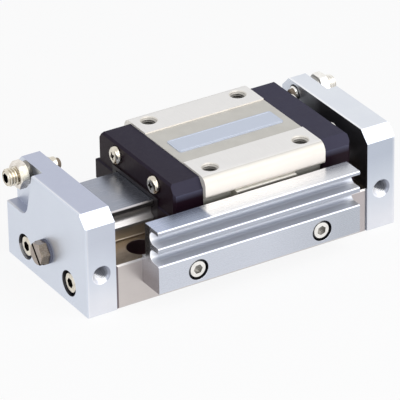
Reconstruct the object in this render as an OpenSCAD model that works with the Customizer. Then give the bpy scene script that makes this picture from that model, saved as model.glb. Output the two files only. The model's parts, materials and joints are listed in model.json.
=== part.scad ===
// Pneumatic slide table: a ball-guided table whose guide rail is also the air cylinder.
// X is the slide axis and Z is up. The origin is the centre of the base, on its bottom face.
// The table is drawn where it is stored, close to the right-hand stop.

/* [Travel] */
// Stroke of the table between its two stops
stroke = 20; // [10:1:40]
// Free distance between the stored table and the right-hand stop
park_gap = 2.8; // [0.4:0.2:6]
// Play that is left at each stop at the end of the stroke
stop_play = 0.1; // [0.05:0.05:0.3]

/* [Overall] */
// Width of the end plates
body_w = 50; // [48:0.5:56]
// Height of the table's mounting face above the bottom
table_z = 36; // [35.5:0.5:42]
// Radial room round a socket screw's head in its counterbore
head_room = 0.75; // [0.4:0.05:0.9]

/* [Rail] */
// Step from the side of an end plate in to the side of the rail's base
base_inset = 0.2; // [0:0.1:0.6]
// Height of the base up to its ledges
base_h = 15.3; // [14:0.1:16.5]
// Width of the guide head
head_w = 22.4; // [20.5:0.1:23]
// Height of the head's top face above the bottom
head_z = 25.9; // [24.8:0.1:26.4]
// Edge breaks along the rail
rail_edge = 0.5; // [0.2:0.1:0.8]
// Edge breaks at the rail's ends
rail_end_edge = 0.8; // [0.2:0.1:1.2]
// Relief groove at the foot of the head
relief_r = 0.5; // [0.3:0.1:0.8]

/* [Cylinder] */
// Bore of the cylinder in the rail
bore_d = 16; // [12:0.5:17]
// Height of the bore's axis
bore_z = 12.2; // [11.2:0.1:12.8]
// Diameter of the pin that drives the table
pin_d = 6; // [4:0.5:6.5]
// Part of the block's thickness that the drive pin is pressed into
pin_seat = 0.55; // [0.3:0.05:0.8]
// Free space on each side of the drive pin in its slot
slot_gap = 0.5; // [0.4:0.1:0.7]
// Distance from a piston's end face to the end plate at the end of the stroke
piston_end_gap = 0.7; // [0.4:0.1:1.5]
// Length of a piston
piston_l = 10.7; // [10:0.1:12]
// Radial gap between a piston and the bore
piston_gap = 0.15; // [0.1:0.05:0.3]
// Diameter of the bar between the two pistons
bar_d = 10; // [8.5:0.5:11]
// Outer diameter of the floating bush round the drive pin
bush_d = 8; // [7.6:0.1:8.4]
// Height of the floating bush
bush_h = 8; // [6:0.5:9]
// Width of the lands at both ends of a piston
piston_land = 1.1; // [0.8:0.1:1.4]
// Width and depth of a piston seal's groove
seal_w = 2; // [1.5:0.1:2.4]
seal_t = 1.5; // [1:0.1:2]
// Width and depth of a wear ring's groove
ring_w = 4; // [3:0.5:4.5]
ring_t = 1; // [0.6:0.1:1.4]
// Radial running clearance of seals and wear rings in the bore
run_gap = 0.05; // [0.02:0.01:0.08]

/* [Ball guide] */
// Ball diameter
ball_d = 4; // [3.6:0.1:4.2]
// Radial gap between a ball and its tracks
ball_gap = 0.06; // [0.04:0.01:0.1]
// Height of the ball circuits
track_z = 22; // [21.4:0.1:22.4]
// Distance from the head's side out to the loaded balls' centres
track_out = 0.5; // [0.3:0.1:0.7]
// Width of the bevels at the lips of the rail's tracks
track_lip = 0.5; // [0.2:0.1:0.6]
// Distance between the loaded and the returning row of balls
row_gap = 6; // [5.6:0.1:6.2]
// Radius and half height of the return guide inside a ball's turn
guide_r = 2.6; // [2.2:0.1:2.6]
guide_half_h = 3.2; // [2.6:0.1:3.3]
// Thickness and height of the strips that keep the balls in the block
strip_t = 0.5; // [0.3:0.1:0.6]
strip_h = 1.3; // [0.8:0.1:1.4]

/* [Slide block] */
// Length of the steel block
block_l = 43.8; // [42:0.2:60]
// Step from the side of an end plate in to the block's flange
block_inset = 0.3; // [0.2:0.1:1.5]
// Height of the flange
flange_h = 7.4; // [6:0.2:8.4]
// Radius of the flange's upper long edges
flange_r = 3.2; // [1:0.2:3.6]
// Radius of the flange's lower long edges
flange_low_r = 1.2; // [0.4:0.1:1.6]
// Overhang of the flange beyond the block's legs
leg_inset = 3.1; // [2.6:0.1:3.5]
// Gap between the head's sides and the legs
leg_gap = 1.2; // [1:0.1:1.4]
// Gap over the head and under the block
head_gap = 0.7; // [0.5:0.1:1]
// Gap between the ledges and the legs
ledge_gap = 1.5; // [1:0.1:2]
// Width and depth of the shallow channel in the top
channel_w = 23; // [16:0.5:28]
channel_t = 0.4; // [0.3:0.1:0.8]
// Spacing of the table's tapped holes along and across the slide
table_hole_dx = 33; // [28:0.5:34]
table_hole_dy = 37; // [33:0.5:38]
// Thread diameter and depth of the table's tapped holes
table_hole_d = 5; // [3:0.5:6]
table_hole_t = 9; // [6:0.5:9.5]

/* [Label] */
// Length, width and thickness of the bare label plate
label_l = 38.2; // [20:0.2:40]
label_w = 8.6; // [5:0.2:12]
label_t = 0.25; // [0.1:0.05:0.3]
// Offset of the label from the centreline
label_y = -0.8; // [-2:0.1:2]

/* [End caps] */
// Step from the side of an end plate in to the caps' upper part
cap_inset = 1.9; // [0.6:0.1:2]
// Thickness of a cap along the slide
cap_t = 10.4; // [8.5:0.2:14]
// Step from the mounting face down to the caps' top faces
cap_drop = 0.7; // [0.2:0.1:1.5]
// Width and height of the bevels on the caps' upper long edges
cap_bevel_y = 2.4; // [1:0.1:3]
cap_bevel_z = 3.3; // [1:0.1:4]
// Step out to the caps' wider lower part, its height, and its step forward
cap_step = 2; // [0.4:0.1:2]
cap_step_z = 25; // [21:0.2:27]
cap_foot = 0.5; // [0.2:0.1:0.8]
// Edge break round the caps' outer faces
cap_edge = 0.7; // [0.3:0.1:1]
// Gap between the caps and the rail
cap_gap = 0.5; // [0.4:0.1:0.7]
// Gap between the ledges and the caps
cap_ledge_gap = 1.8; // [1:0.1:2.4]
// Distance from a stop adjuster's axis in to the cap screws
cap_screw_dy = 5.8; // [5.6:0.1:8]
// Thread and head diameter of the cap screws
cap_screw_d = 3; // [2:0.5:3.5]
cap_screw_head_d = 6; // [5:0.1:6.2]
// Head height of the cap screws, and how deep it is sunk in the cap
cap_screw_head_h = 2.1; // [1.4:0.1:2.2]
cap_screw_sink = 0.3; // [0.3:0.1:1.4]
// Depth that the cap screws reach into the block
cap_screw_grip = 7; // [4:0.5:9]
// Thickness of the scraper plates
scraper_t = 1.6; // [1:0.1:2]
// Gap between a scraper's lip and the rail
scraper_gap = 0.15; // [0.1:0.05:0.3]
// Width of a scraper's rim beyond the rail's head
scraper_rim = 1.4; // [1:0.1:1.9]

/* [End plates] */
// Thickness of an end plate
plate_t = 10.4; // [9.6:0.2:14]
// Step from the mounting face down to the end plates' top faces
plate_drop = 1.2; // [0.6:0.1:2]
// Bevel on the end plates' upper long edges
plate_bevel = 3.8; // [1:0.1:4.2]
// Edge break on the end plates
plate_edge = 0.35; // [0.2:0.05:0.6]
// Half spacing and height of the screws that hold an end plate
plate_screw_y = 13.7; // [13:0.1:14.5]
plate_screw_z = 7.3; // [6.6:0.1:7.6]
// Thread, head and socket size of these screws
plate_screw_d = 4; // [3:0.5:4]
plate_screw_head_d = 7; // [6:0.1:7.2]
plate_screw_hex = 3; // [2:0.5:4]
// Head height and depth below the plate's face
plate_screw_head_h = 4; // [3:0.1:4.4]
plate_screw_sink = 0.4; // [0:0.1:1]
// Thread length of these screws in the rail
plate_screw_grip = 9; // [6:0.5:9.5]

/* [Air ports] */
// Thread diameter of the ports
port_d = 5; // [4:0.1:5.2]
// Height and thread depth of the side ports
port_z = 14; // [13.6:0.1:15]
port_t = 6.5; // [5:0.1:6.8]
// Diameter of the ports' countersunk mouths
port_mouth_d = 6.2; // [5.6:0.1:7]
// Diameter of the drilled air passages
passage_d = 2.4; // [1.5:0.1:2.8]
// Thread length of the plug in an end port
plug_thread_l = 4; // [3:0.1:4.4]
// Width across flats and height of the plug's head
plug_hex = 7; // [6.6:0.1:8.4]
plug_h = 3; // [2.4:0.1:5]
// Angle at which the tightened plugs have come to rest
plug_turn = -10; // [-30:5:30]
// Width and depth of the plug's screwdriver slot
plug_slot_w = 1.1; // [0.8:0.1:1.6]
plug_slot_t = 1.2; // [0.8:0.1:2]
// Diameter and thickness of the plug's gasket
gasket_d = 8; // [7:0.1:9]
gasket_t = 0.8; // [0.5:0.1:1.2]
// Section of the ring seal between rail and end plate
oring_t = 1; // [0.8:0.1:1.4]
// Land between the bore and the ring seal's groove
oring_land = 0.8; // [0.5:0.1:1]

/* [Stop adjusters] */
// Thread diameter of an adjuster
adj_d = 6; // [5:0.5:6]
// Distance from the far side of the plate to the adjusters' axis
adj_inset = 7.6; // [7:0.1:7.8]
// Distance from the plate's top face down to the adjusters' axis
adj_drop = 3.8; // [3.4:0.1:4.6]
// Distance that each bumper stands out of its plate's inner face
left_stop_out = 4.8; // [3.2:0.1:7]
right_stop_out = 2.2; // [2:0.1:5]
// Distance that an adjuster stands out of a plate's outer face
adj_out = 4; // [3:0.1:6]
// Diameter and length of the adjusters' turned-down tips
adj_tip_d = 5; // [4.4:0.1:5.2]
adj_tip_l = 3.4; // [2.4:0.1:5]
// Size and depth of the adjusters' sockets
adj_hex = 3; // [2:0.5:3]
adj_hex_t = 3; // [2:0.1:4]
// Diameter of the bumpers, and how far they stand out of the adjusters
bumper_d = 3.6; // [3:0.1:4]
bumper_out = 1.4; // [1.2:0.1:2]
// Depth of a bumper's seat in its adjuster
bumper_seat = 2; // [1:0.1:3]
// Width across flats and thickness of a lock nut's hexagon
nut_hex = 8; // [7.5:0.1:8.4]
nut_t = 3.2; // [2:0.1:4]
// Diameter and thickness of the round collar on a lock nut's seat
collar_d = 7.4; // [7:0.1:7.5]
collar_t = 1.4; // [0.5:0.1:2.5]
// Depth of the pocket for a lock nut, and its width at the plate's top
pocket_t = 3.9; // [3:0.1:4.5]
pocket_w = 17; // [15:0.2:18]
// Floor height, corner radius and inner wall's lean of this pocket
pocket_z = 18.6; // [18:0.1:22]
pocket_r = 5; // [2:0.1:6]
pocket_lean = 15; // [0:1:18]

/* [Switch rail] */
// Distance from each end of the rail to the switch rail
switch_inset = 9.3; // [4:0.1:12]
// Height of the switch rail's lower edge
switch_z = 7.2; // [5:0.1:8]
// Total depth of the switch rail out of the base's side
switch_w = 10.2; // [9.4:0.1:12]
// Gap between the switch rail's upper part and the plane of the base's side
switch_gap = 2.9; // [2.7:0.1:3.5]
// Height of the foot that is screwed to the base
switch_foot_h = 9.4; // [8:0.1:9.6]
// Height and depth of the two switch grooves
groove_h = 4.3; // [3.5:0.1:4.5]
groove_t = 5.2; // [4.6:0.1:5.6]
// Thickness of the lip above the grooves and of the rib between them
switch_lip = 1.4; // [1:0.1:2]
switch_rib = 1.9; // [1:0.1:2.4]
// Thickness of the floor under the lower groove
switch_floor = 0.4; // [0.2:0.1:1]
// Edge break along the switch rail
switch_edge = 0.35; // [0.2:0.05:0.5]
// Half spacing and height of the switch rail's screws
switch_screw_x = 22.5; // [15:0.5:24]
switch_screw_z = 11.9; // [11.2:0.1:12]
// Thread, head and socket size of these screws
switch_screw_d = 3; // [2.5:0.1:3]
switch_screw_head_d = 5.5; // [5:0.1:5.6]
switch_screw_hex = 2.5; // [2:0.5:3]
// Head height, depth below the face, and thread length in the rail
switch_screw_head_h = 3; // [2.5:0.1:3.2]
switch_screw_sink = 0.8; // [0:0.1:1]
switch_screw_grip = 6; // [4:0.5:8]

/* [Magnet] */
// Length and thickness of the magnet holder
holder_l = 22; // [18:0.5:26]
holder_t = 4; // [2.8:0.1:4.3]
// Height of the magnet holder
holder_h = 8; // [7:0.1:9]
// Length, thickness and height of the magnet
magnet_l = 8; // [5:0.5:10]
magnet_t = 2; // [1.5:0.1:2.2]
magnet_h = 4; // [3:0.1:5]
// Half spacing, thread diameter and grip of the holder's screws
holder_screw_x = 7.5; // [7:0.1:8.5]
holder_screw_d = 2; // [1.6:0.1:2.2]
holder_screw_grip = 1; // [0.6:0.1:1]

/* [Base mounting] */
// Distance from the ends of the rail to the counterbored mounting holes
mount_end = 12.9; // [12:0.1:16]
// Distance from the sides of the rail to the mounting holes
mount_side = 6.3; // [5.8:0.1:7.6]
// Diameter of the mounting holes
mount_d = 5.5; // [4.5:0.1:5.6]
// Diameter and depth of their counterbores
mount_head_d = 9.6; // [8:0.1:9.8]
mount_head_t = 5.4; // [4:0.1:6]

/* [Hidden] */
$fn = 48;
eps = 0.01;               // overshoot of a cutting tool
thread_gap = 0.05;        // radial gap between a screw and its tapped hole
seat_gap = 0.02;          // radial gap of a piece that is pressed or snapped in
drill_gap = 0.25;         // radial gap of a screw in a clearance hole

table_l = block_l + 2 * cap_t;
rail_l = stroke + 2 * stop_play + table_l + left_stop_out + right_stop_out;
travel_mid = (left_stop_out - right_stop_out) / 2;
table_x = travel_mid + stroke / 2 - park_gap;
base_w = body_w - 2 * base_inset;
side_y = -base_w / 2;

plate_h = table_z - plate_drop;
adj_y = body_w / 2 - adj_inset;
adj_z = plate_h - adj_drop;
mount_x = rail_l / 2 - mount_end;
mount_y = base_w / 2 - mount_side;

track_y = head_w / 2 + track_out;
track_r = ball_d / 2 + ball_gap;
return_y = track_y + row_gap;
turn_y = (track_y + return_y) / 2;
turn_r = row_gap / 2;

block_w = body_w - 2 * block_inset;
leg_w = block_w - 2 * leg_inset;
leg_in = head_w / 2 + leg_gap;
leg_z = base_h + ledge_gap;
under_z = head_z + head_gap;
flange_z = table_z - flange_h;
floor_z = table_z - channel_t;

cap_w = body_w - 2 * cap_inset;
cap_z = table_z - cap_drop;
cap_low_z = base_h + cap_ledge_gap;
cap_screw_y = adj_y - cap_screw_dy;
cap_screw_z = (cap_z + head_z + scraper_rim) / 2;
scraper_w = head_w + 2 * (scraper_gap + scraper_rim + 1);

slot_w = pin_d + 2 * slot_gap;
slot_half = stroke / 2 + pin_d / 2 + slot_gap;
piston_end = rail_l / 2 - abs(travel_mid) - stroke / 2 - stop_play - piston_end_gap;
seal_x = piston_end - piston_land - seal_w / 2;
ring_x = piston_end - piston_l + piston_land + ring_w / 2;
pin_z0 = bore_z - bush_h / 2;
pin_z1 = under_z + pin_seat * (floor_z - under_z);

groove_top_z = switch_z + switch_foot_h + switch_floor + groove_h + switch_rib + groove_h / 2;
groove_low_z = groove_top_z - groove_h - switch_rib;
switch_top_z = groove_top_z + groove_h / 2 + switch_lip;
switch_l = rail_l - 2 * switch_inset;
switch_face_y = side_y - switch_w;

// ---------------------------------------------------------------- placing

// Extrudes a profile drawn in Y and Z, from x = 0 to x = l
module along_x(l) {
    rotate([90, 0, 90]) linear_extrude(height = l) children();
}

// Places a piece drawn at a rail end, with +X pointing out of the rail
module at_rail_end(side) {
    mirror([side < 0 ? 1 : 0, 0, 0]) translate([rail_l / 2, 0, 0]) children();
}

// Places a piece drawn at the block's end face, with +X pointing out of the block
module at_block_end(side) {
    translate([table_x, 0, 0]) mirror([side < 0 ? 1 : 0, 0, 0])
        translate([block_l / 2, 0, 0]) children();
}

// Places a piece drawn about the middle of the table
module at_table() {
    translate([table_x, 0, 0]) children();
}

// Turns a piece drawn along +Z so that it points along +X
module face_x() {
    rotate([0, 90, 0]) children();
}

// Turns a piece drawn along +Z so that it points along -Y
module face_side() {
    rotate([90, 0, 0]) children();
}

// ---------------------------------------------------------------- shared shapes

// A straight hole or shaft from z = 0 down to z = -l
module down(d, l) {
    translate([0, 0, -l]) cylinder(d = d, h = l);
}

// A hole from z = 0 down to z = -l that also cuts a little above its mouth
module drill(d, l) {
    translate([0, 0, -l]) cylinder(d = d, h = l + 1);
}

// A countersink of mouth diameter d1 round a hole of diameter d2, at z = 0
module countersink(d1, d2) {
    t = (d1 - d2) / 2;
    translate([0, 0, -t]) cylinder(d1 = d2, d2 = d1 + 2 * eps, h = t + eps);
}

// A prism of width af across its flats, standing on z = 0, with its corners turned off at the ends
module hex_body(af, h, low_turn, high_turn) {
    corner = af / cos(30) / 2;
    turn = (corner - af / 2) * 1.16;
    intersection() {
        rotate(30) cylinder(r = corner, h = h, $fn = 6);
        rotate_extrude() polygon([[0, 0], [corner - low_turn * turn, 0],
            [corner + eps, low_turn * turn * 0.6 + eps], [corner + eps, h - high_turn * turn * 0.6 - eps],
            [corner - high_turn * turn, h], [0, h]]);
    }
}

// A socket-head cap screw: its head's top is at z = 0 and its shank points down
module socket_screw(d, head_d, head_h, hex, shank_l) {
    round_off = head_h * 0.1;
    difference() {
        union() {
            rotate_extrude() polygon([[0, -head_h], [head_d / 2, -head_h], [head_d / 2, -round_off],
                [head_d / 2 - round_off, 0], [0, 0]]);
            translate([0, 0, -head_h]) down(d - 2 * thread_gap, shank_l);
        }
        translate([0, 0, -head_h * 0.55]) cylinder(d = hex / cos(30), h = head_h, $fn = 6);
    }
}

// A pan-head screw with a cross recess: the head stands on z = 0 and its shank points down
module pan_screw(d, head_d, head_h, shank_l) {
    crown_r = (head_d * head_d / 4 + head_h * head_h) / (2 * head_h);
    wing = head_d * 0.14;
    difference() {
        union() {
            intersection() {
                translate([0, 0, head_h - crown_r]) sphere(r = crown_r);
                cylinder(d = head_d - eps, h = head_h);
            }
            down(d - 2 * thread_gap, shank_l);
        }
        for (a = [0, 90])
            rotate(a + 20) translate([-head_d * 0.31, -wing / 2, head_h * 0.35])
                cube([head_d * 0.62, wing, head_h]);
    }
}

// A block from x = 0 to x = l with the edges of its outer face broken
module broken_block(l, half_w, z0, z1, edge) {
    intersection() {
        translate([0, 0, z0]) linear_extrude(height = z1 - z0)
            polygon([[0, -half_w], [l - edge, -half_w], [l, -half_w + edge],
                [l, half_w - edge], [l - edge, half_w], [0, half_w]]);
        rotate([90, 0, 0]) translate([0, 0, -half_w]) linear_extrude(height = 2 * half_w)
            polygon([[0, z0], [l - edge, z0], [l, z0 + edge], [l, z1 - edge], [l - edge, z1], [0, z1]]);
    }
}

// A ring about the Z axis, from z = 0 to z = h
module ring(d_out, d_in, h) {
    rotate_extrude() translate([d_in / 2, 0]) square([(d_out - d_in) / 2, h]);
}

// ---------------------------------------------------------------- rail and cylinder

// Cross-section of the rail: wide base, guide head, ball tracks and relief grooves
module rail_profile() {
    hw = base_w / 2;
    e = rail_edge;
    lip_half = sqrt(track_r * track_r - pow(track_out + track_lip, 2)) + track_lip;
    difference() {
        union() {
            polygon([[-hw + e, 0], [hw - e, 0], [hw, e], [hw, base_h - e], [hw - e, base_h],
                [-hw + e, base_h], [-hw, base_h - e], [-hw, e]]);
            polygon([[-head_w / 2, base_h - 1], [head_w / 2, base_h - 1], [head_w / 2, head_z - e],
                [head_w / 2 - e, head_z], [-head_w / 2 + e, head_z], [-head_w / 2, head_z - e]]);
        }
        for (s = [-1, 1]) {
            translate([s * track_y, track_z]) circle(r = track_r);
            polygon([[s * (head_w / 2 + eps), track_z - lip_half - eps],
                [s * (head_w / 2 + eps), track_z + lip_half + eps],
                [s * (head_w / 2 - track_lip), track_z + lip_half - track_lip],
                [s * (head_w / 2 - track_lip), track_z - lip_half + track_lip]]);
            translate([s * head_w / 2, base_h + relief_r * 0.6]) circle(r = relief_r);
        }
    }
}

module guide_rail() {
    e = rail_end_edge;
    hw = base_w / 2;
    color([0.66, 0.65, 0.63]) difference() {
        intersection() {
            translate([-rail_l / 2, 0, 0]) along_x(rail_l) rail_profile();
            // broken vertical edges of the end faces
            linear_extrude(height = head_z) polygon([[-rail_l / 2, -hw + e], [-rail_l / 2 + e, -hw],
                [rail_l / 2 - e, -hw], [rail_l / 2, -hw + e], [rail_l / 2, hw - e],
                [rail_l / 2 - e, hw], [-rail_l / 2 + e, hw], [-rail_l / 2, hw - e]]);
        }
        // cylinder bore, chamfered so that the seals enter it
        translate([-rail_l / 2 - 1, 0, bore_z]) face_x() cylinder(d = bore_d, h = rail_l + 2);
        for (side = [-1, 1])
            at_rail_end(side) translate([0, 0, bore_z]) face_x() countersink(bore_d + 1, bore_d);
        // slot for the drive pin, always under the table
        translate([travel_mid, 0, bore_z]) {
            translate([-slot_half + slot_w / 2, -slot_w / 2, 0])
                cube([2 * slot_half - slot_w, slot_w, head_z - bore_z + 1]);
            for (s = [-1, 1])
                translate([s * (slot_half - slot_w / 2), 0, 0]) cylinder(d = slot_w, h = head_z - bore_z + 1);
        }
        // counterbored mounting holes through the ledges
        for (sx = [-1, 1], sy = [-1, 1]) translate([sx * mount_x, sy * mount_y, 0]) {
            translate([0, 0, base_h]) drill(mount_d, base_h + 1);
            translate([0, 0, base_h]) drill(mount_head_d, mount_head_t);
        }
        // tapped holes for the end plates
        for (side = [-1, 1], s = [-1, 1])
            at_rail_end(side) translate([0, s * plate_screw_y, plate_screw_z])
                face_x() drill(plate_screw_d, plate_screw_grip + 1);
        // tapped holes for the switch rail
        for (s = [-1, 1])
            translate([s * switch_screw_x, side_y, switch_screw_z])
                face_side() drill(switch_screw_d, switch_screw_grip + 1);
    }
}

// Two pistons in one piece with the bar between them, bored for the floating bush
module twin_piston() {
    body_d = bore_d - 2 * piston_gap;
    color([0.78, 0.79, 0.8]) at_table() translate([0, 0, bore_z]) difference() {
        union() {
            translate([-piston_end + 1, 0, 0]) face_x() cylinder(d = bar_d, h = 2 * (piston_end - 1));
            for (side = [-1, 1]) mirror([side < 0 ? 1 : 0, 0, 0])
                translate([piston_end - piston_l, 0, 0]) face_x() cylinder(d = body_d, h = piston_l);
            // boss round the bush, flat on top so that it passes under the slot
            intersection() {
                translate([-bush_d, 0, 0]) face_x() cylinder(d = body_d, h = 2 * bush_d);
                translate([-bush_d, -body_d / 2, -bush_h / 2]) cube([2 * bush_d, body_d, bush_h]);
            }
        }
        for (side = [-1, 1]) mirror([side < 0 ? 1 : 0, 0, 0]) {
            translate([seal_x - seal_w / 2, 0, 0]) face_x() ring(bore_d + 1, body_d - 2 * seal_t, seal_w);
            translate([ring_x - ring_w / 2, 0, 0]) face_x() ring(bore_d + 1, body_d - 2 * ring_t, ring_w);
        }
        translate([0, 0, -bore_d / 2]) cylinder(d = bush_d + 2 * seat_gap, h = bore_d);
    }
}

module piston_seal(side) {
    body_d = bore_d - 2 * piston_gap;
    color([0.1, 0.1, 0.11]) at_table() mirror([side < 0 ? 1 : 0, 0, 0])
        translate([seal_x - seal_w / 2 + seat_gap, 0, bore_z]) face_x() difference() {
            ring(bore_d - 2 * run_gap, body_d - 2 * seal_t + 2 * seat_gap, seal_w - 2 * seat_gap);
            // hollow lip that faces the air
            translate([0, 0, seal_w - 0.6]) ring(body_d - 2 * seal_t + 2.2, body_d - 2 * seal_t + 1, 1);
        }
}

module wear_ring(side) {
    body_d = bore_d - 2 * piston_gap;
    color([0.55, 0.4, 0.25]) at_table() mirror([side < 0 ? 1 : 0, 0, 0])
        translate([ring_x - ring_w / 2 + seat_gap, 0, bore_z]) face_x()
            ring(bore_d - 2 * run_gap, body_d - 2 * ring_t + 2 * seat_gap, ring_w - 2 * seat_gap);
}

module floating_bush() {
    color([0.75, 0.62, 0.35]) at_table() translate([0, 0, pin_z0])
        ring(bush_d, pin_d + 2 * seat_gap, bush_h);
}

// Pin pressed into the block from below: it passes the slot and drives the bush
module drive_pin() {
    tip = 0.4;
    color([0.7, 0.7, 0.72]) at_table() rotate_extrude()
        polygon([[0, pin_z0], [pin_d / 2 - tip, pin_z0], [pin_d / 2, pin_z0 + tip],
            [pin_d / 2, pin_z1 - tip], [pin_d / 2 - tip, pin_z1], [0, pin_z1]]);
}

// ---------------------------------------------------------------- end plates

// Outline of an end plate seen along the slide, with bevelled shoulders
module plate_profile() {
    hw = body_w / 2;
    e = plate_edge;
    b = plate_bevel;
    polygon([[-hw + e, 0], [hw - e, 0], [hw, e], [hw, plate_h - b], [hw - b, plate_h],
        [-hw + b, plate_h], [-hw, plate_h - b], [-hw, e]]);
}

// Pocket for the lock nut: open at the top and at the far side, round in its lower corner
module pocket_profile() {
    far_y = body_w / 2 + 1;
    top_z = plate_h + 1;
    corner_y = body_w / 2 - pocket_w + (plate_h - pocket_z) * tan(pocket_lean);
    reach = pocket_r / tan(45 + pocket_lean / 2);
    centre = [corner_y + reach, pocket_z + pocket_r];
    polygon([[centre[0], pocket_z], [far_y, pocket_z], [far_y, top_z],
        [corner_y - (top_z - pocket_z) * tan(pocket_lean), top_z],
        [corner_y - reach * sin(pocket_lean), pocket_z + reach * cos(pocket_lean)], centre]);
    translate(centre) circle(r = pocket_r);
}

// An end plate, from its inner face at x = 0 outwards
module end_plate(side) {
    hw = body_w / 2;
    color([0.83, 0.85, 0.9]) at_rail_end(side) difference() {
        intersection() {
            along_x(plate_t) plate_profile();
            broken_block(plate_t, hw, 0, plate_h, plate_edge);
        }
        // counterbored holes for the plate's screws
        for (s = [-1, 1]) translate([plate_t, s * plate_screw_y, plate_screw_z]) face_x() {
            drill(plate_screw_d + 2 * drill_gap, plate_t + 1);
            drill(plate_screw_head_d + 2 * head_room, plate_screw_head_h + plate_screw_sink);
        }
        // end port in line with the bore
        translate([plate_t, 0, bore_z]) face_x() {
            drill(port_d, plug_thread_l + 1.5);
            drill(passage_d, plate_t + 1);
        }
        // side port, drilled on to meet the end port's passage
        translate([plate_t / 2, -hw, port_z]) face_side() {
            drill(port_d, port_t);
            countersink(port_mouth_d, port_d);
            drill(passage_d, hw);
        }
        // groove for the ring seal round the bore
        translate([-1, 0, bore_z]) face_x()
            ring(bore_d + 2 + 2 * (oring_land + oring_t), bore_d + 2 * oring_land, oring_t + 1);
        // pocket and tapped hole for the stop adjuster
        translate([plate_t - pocket_t, 0, 0]) along_x(pocket_t + 1) pocket_profile();
        translate([plate_t, adj_y, adj_z]) face_x() drill(adj_d, plate_t + 1);
    }
}

module plate_screws(side) {
    grip = plate_t - plate_screw_head_h - plate_screw_sink + plate_screw_grip;
    color([0.8, 0.78, 0.7]) at_rail_end(side) for (s = [-1, 1])
        translate([plate_t - plate_screw_sink, s * plate_screw_y, plate_screw_z]) face_x()
            socket_screw(plate_screw_d, plate_screw_head_d, plate_screw_head_h, plate_screw_hex, grip);
}

// Slotted hexagon plug in the end port
module port_plug(side) {
    color([0.55, 0.5, 0.45]) at_rail_end(side) translate([plate_t + gasket_t, 0, bore_z]) face_x()
        rotate(plug_turn) difference() {
            union() {
                hex_body(plug_hex, plug_h, 0, 1);
                down(port_d - 2 * thread_gap, plug_thread_l + gasket_t);
            }
            // the slot runs along one pair of flats
            rotate(-30) translate([-plug_hex, -plug_slot_w / 2, plug_h - plug_slot_t])
                cube([2 * plug_hex, plug_slot_w, plug_h]);
        }
}

module plug_gasket(side) {
    color([0.2, 0.2, 0.22]) at_rail_end(side) translate([plate_t, 0, bore_z]) face_x()
        ring(gasket_d, port_d + 2 * seat_gap, gasket_t);
}

// Ring seal that closes the bore against the end plate
module bore_seal(side) {
    d_in = bore_d + 2 * oring_land;
    d_out = bore_d + 2 + 2 * (oring_land + oring_t);
    color([0.1, 0.1, 0.11]) at_rail_end(side) translate([0, 0, bore_z]) face_x()
        ring(d_out - 2 * seat_gap, d_in + 2 * seat_gap, oring_t);
}

// ---------------------------------------------------------------- stop adjusters

// Distance from a plate's inner face to the end of its bumper
function stop_out(side) = side < 0 ? left_stop_out : right_stop_out;

// Threaded stop with a socket outside and a bumper seat in its turned-down tip
module adjuster_bolt(side) {
    length = adj_out + plate_t + stop_out(side) - bumper_out;
    r = adj_d / 2 - thread_gap;
    tip_r = adj_tip_d / 2;
    color([0.8, 0.77, 0.68]) at_rail_end(side)
        translate([plate_t + adj_out, adj_y, adj_z]) face_x() difference() {
            rotate_extrude() polygon([[0, -length], [tip_r - 0.4, -length], [tip_r, -length + 0.4],
                [tip_r, -length + adj_tip_l - 0.2], [r, -length + adj_tip_l + 0.3], [r, -0.6],
                [r - 0.6, 0], [0, 0]]);
            translate([0, 0, -adj_hex_t]) cylinder(d = adj_hex / cos(30), h = adj_hex_t + 1, $fn = 6);
            translate([0, 0, -length - 1]) cylinder(d = bumper_d + 2 * seat_gap, h = bumper_seat + 1);
        }
}

// Rubber bumper that meets the table's end cap
module bumper(side) {
    length = bumper_out + bumper_seat;
    color([0.25, 0.2, 0.16]) at_rail_end(side)
        translate([-stop_out(side), adj_y, adj_z]) face_x() rotate_extrude()
            polygon([[0, 0], [bumper_d / 2 - 0.4, 0], [bumper_d / 2, 0.4], [bumper_d / 2, length],
                [0, length]]);
}

// Hexagon nut with a round collar that seats in the pocket
module lock_nut(side) {
    color([0.8, 0.77, 0.68]) at_rail_end(side)
        translate([plate_t - pocket_t, adj_y, adj_z]) face_x() difference() {
            union() {
                cylinder(d = collar_d, h = collar_t + eps);
                translate([0, 0, collar_t]) hex_body(nut_hex, nut_t, 1, 1);
            }
            translate([0, 0, -1]) cylinder(d = adj_d, h = collar_t + nut_t + 2);
        }
}

// ---------------------------------------------------------------- switch rail

// Cross-section: a foot on the base's side and an upper part with two round-bottomed grooves
module switch_profile() {
    e = switch_edge;
    f = switch_face_y;
    back = side_y - switch_gap;
    foot_top = switch_z + switch_foot_h;
    difference() {
        polygon([[f + e, switch_z], [side_y, switch_z], [side_y, foot_top], [back, foot_top],
            [back, switch_top_z - e], [back - e, switch_top_z], [f + e, switch_top_z],
            [f, switch_top_z - e], [f, switch_z + e]]);
        for (z = [groove_low_z, groove_top_z]) {
            translate([f + groove_t - groove_h / 2, z]) circle(d = groove_h);
            translate([f - 1, z - groove_h / 2]) square([groove_t - groove_h / 2 + 1, groove_h]);
            // broken lips of the groove's mouth
            polygon([[f - eps, z - groove_h / 2 - e], [f + e, z - groove_h / 2 + eps],
                [f + e, z + groove_h / 2 - eps], [f - eps, z + groove_h / 2 + e]]);
        }
    }
}

module switch_rail() {
    color([0.8, 0.82, 0.86]) difference() {
        translate([-switch_l / 2, 0, 0]) along_x(switch_l) switch_profile();
        for (s = [-1, 1]) translate([s * switch_screw_x, switch_face_y, switch_screw_z]) face_side() {
            drill(switch_screw_d + 2 * drill_gap, switch_w + 1);
            drill(switch_screw_head_d + 2 * head_room, switch_screw_head_h + switch_screw_sink);
        }
    }
}

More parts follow.
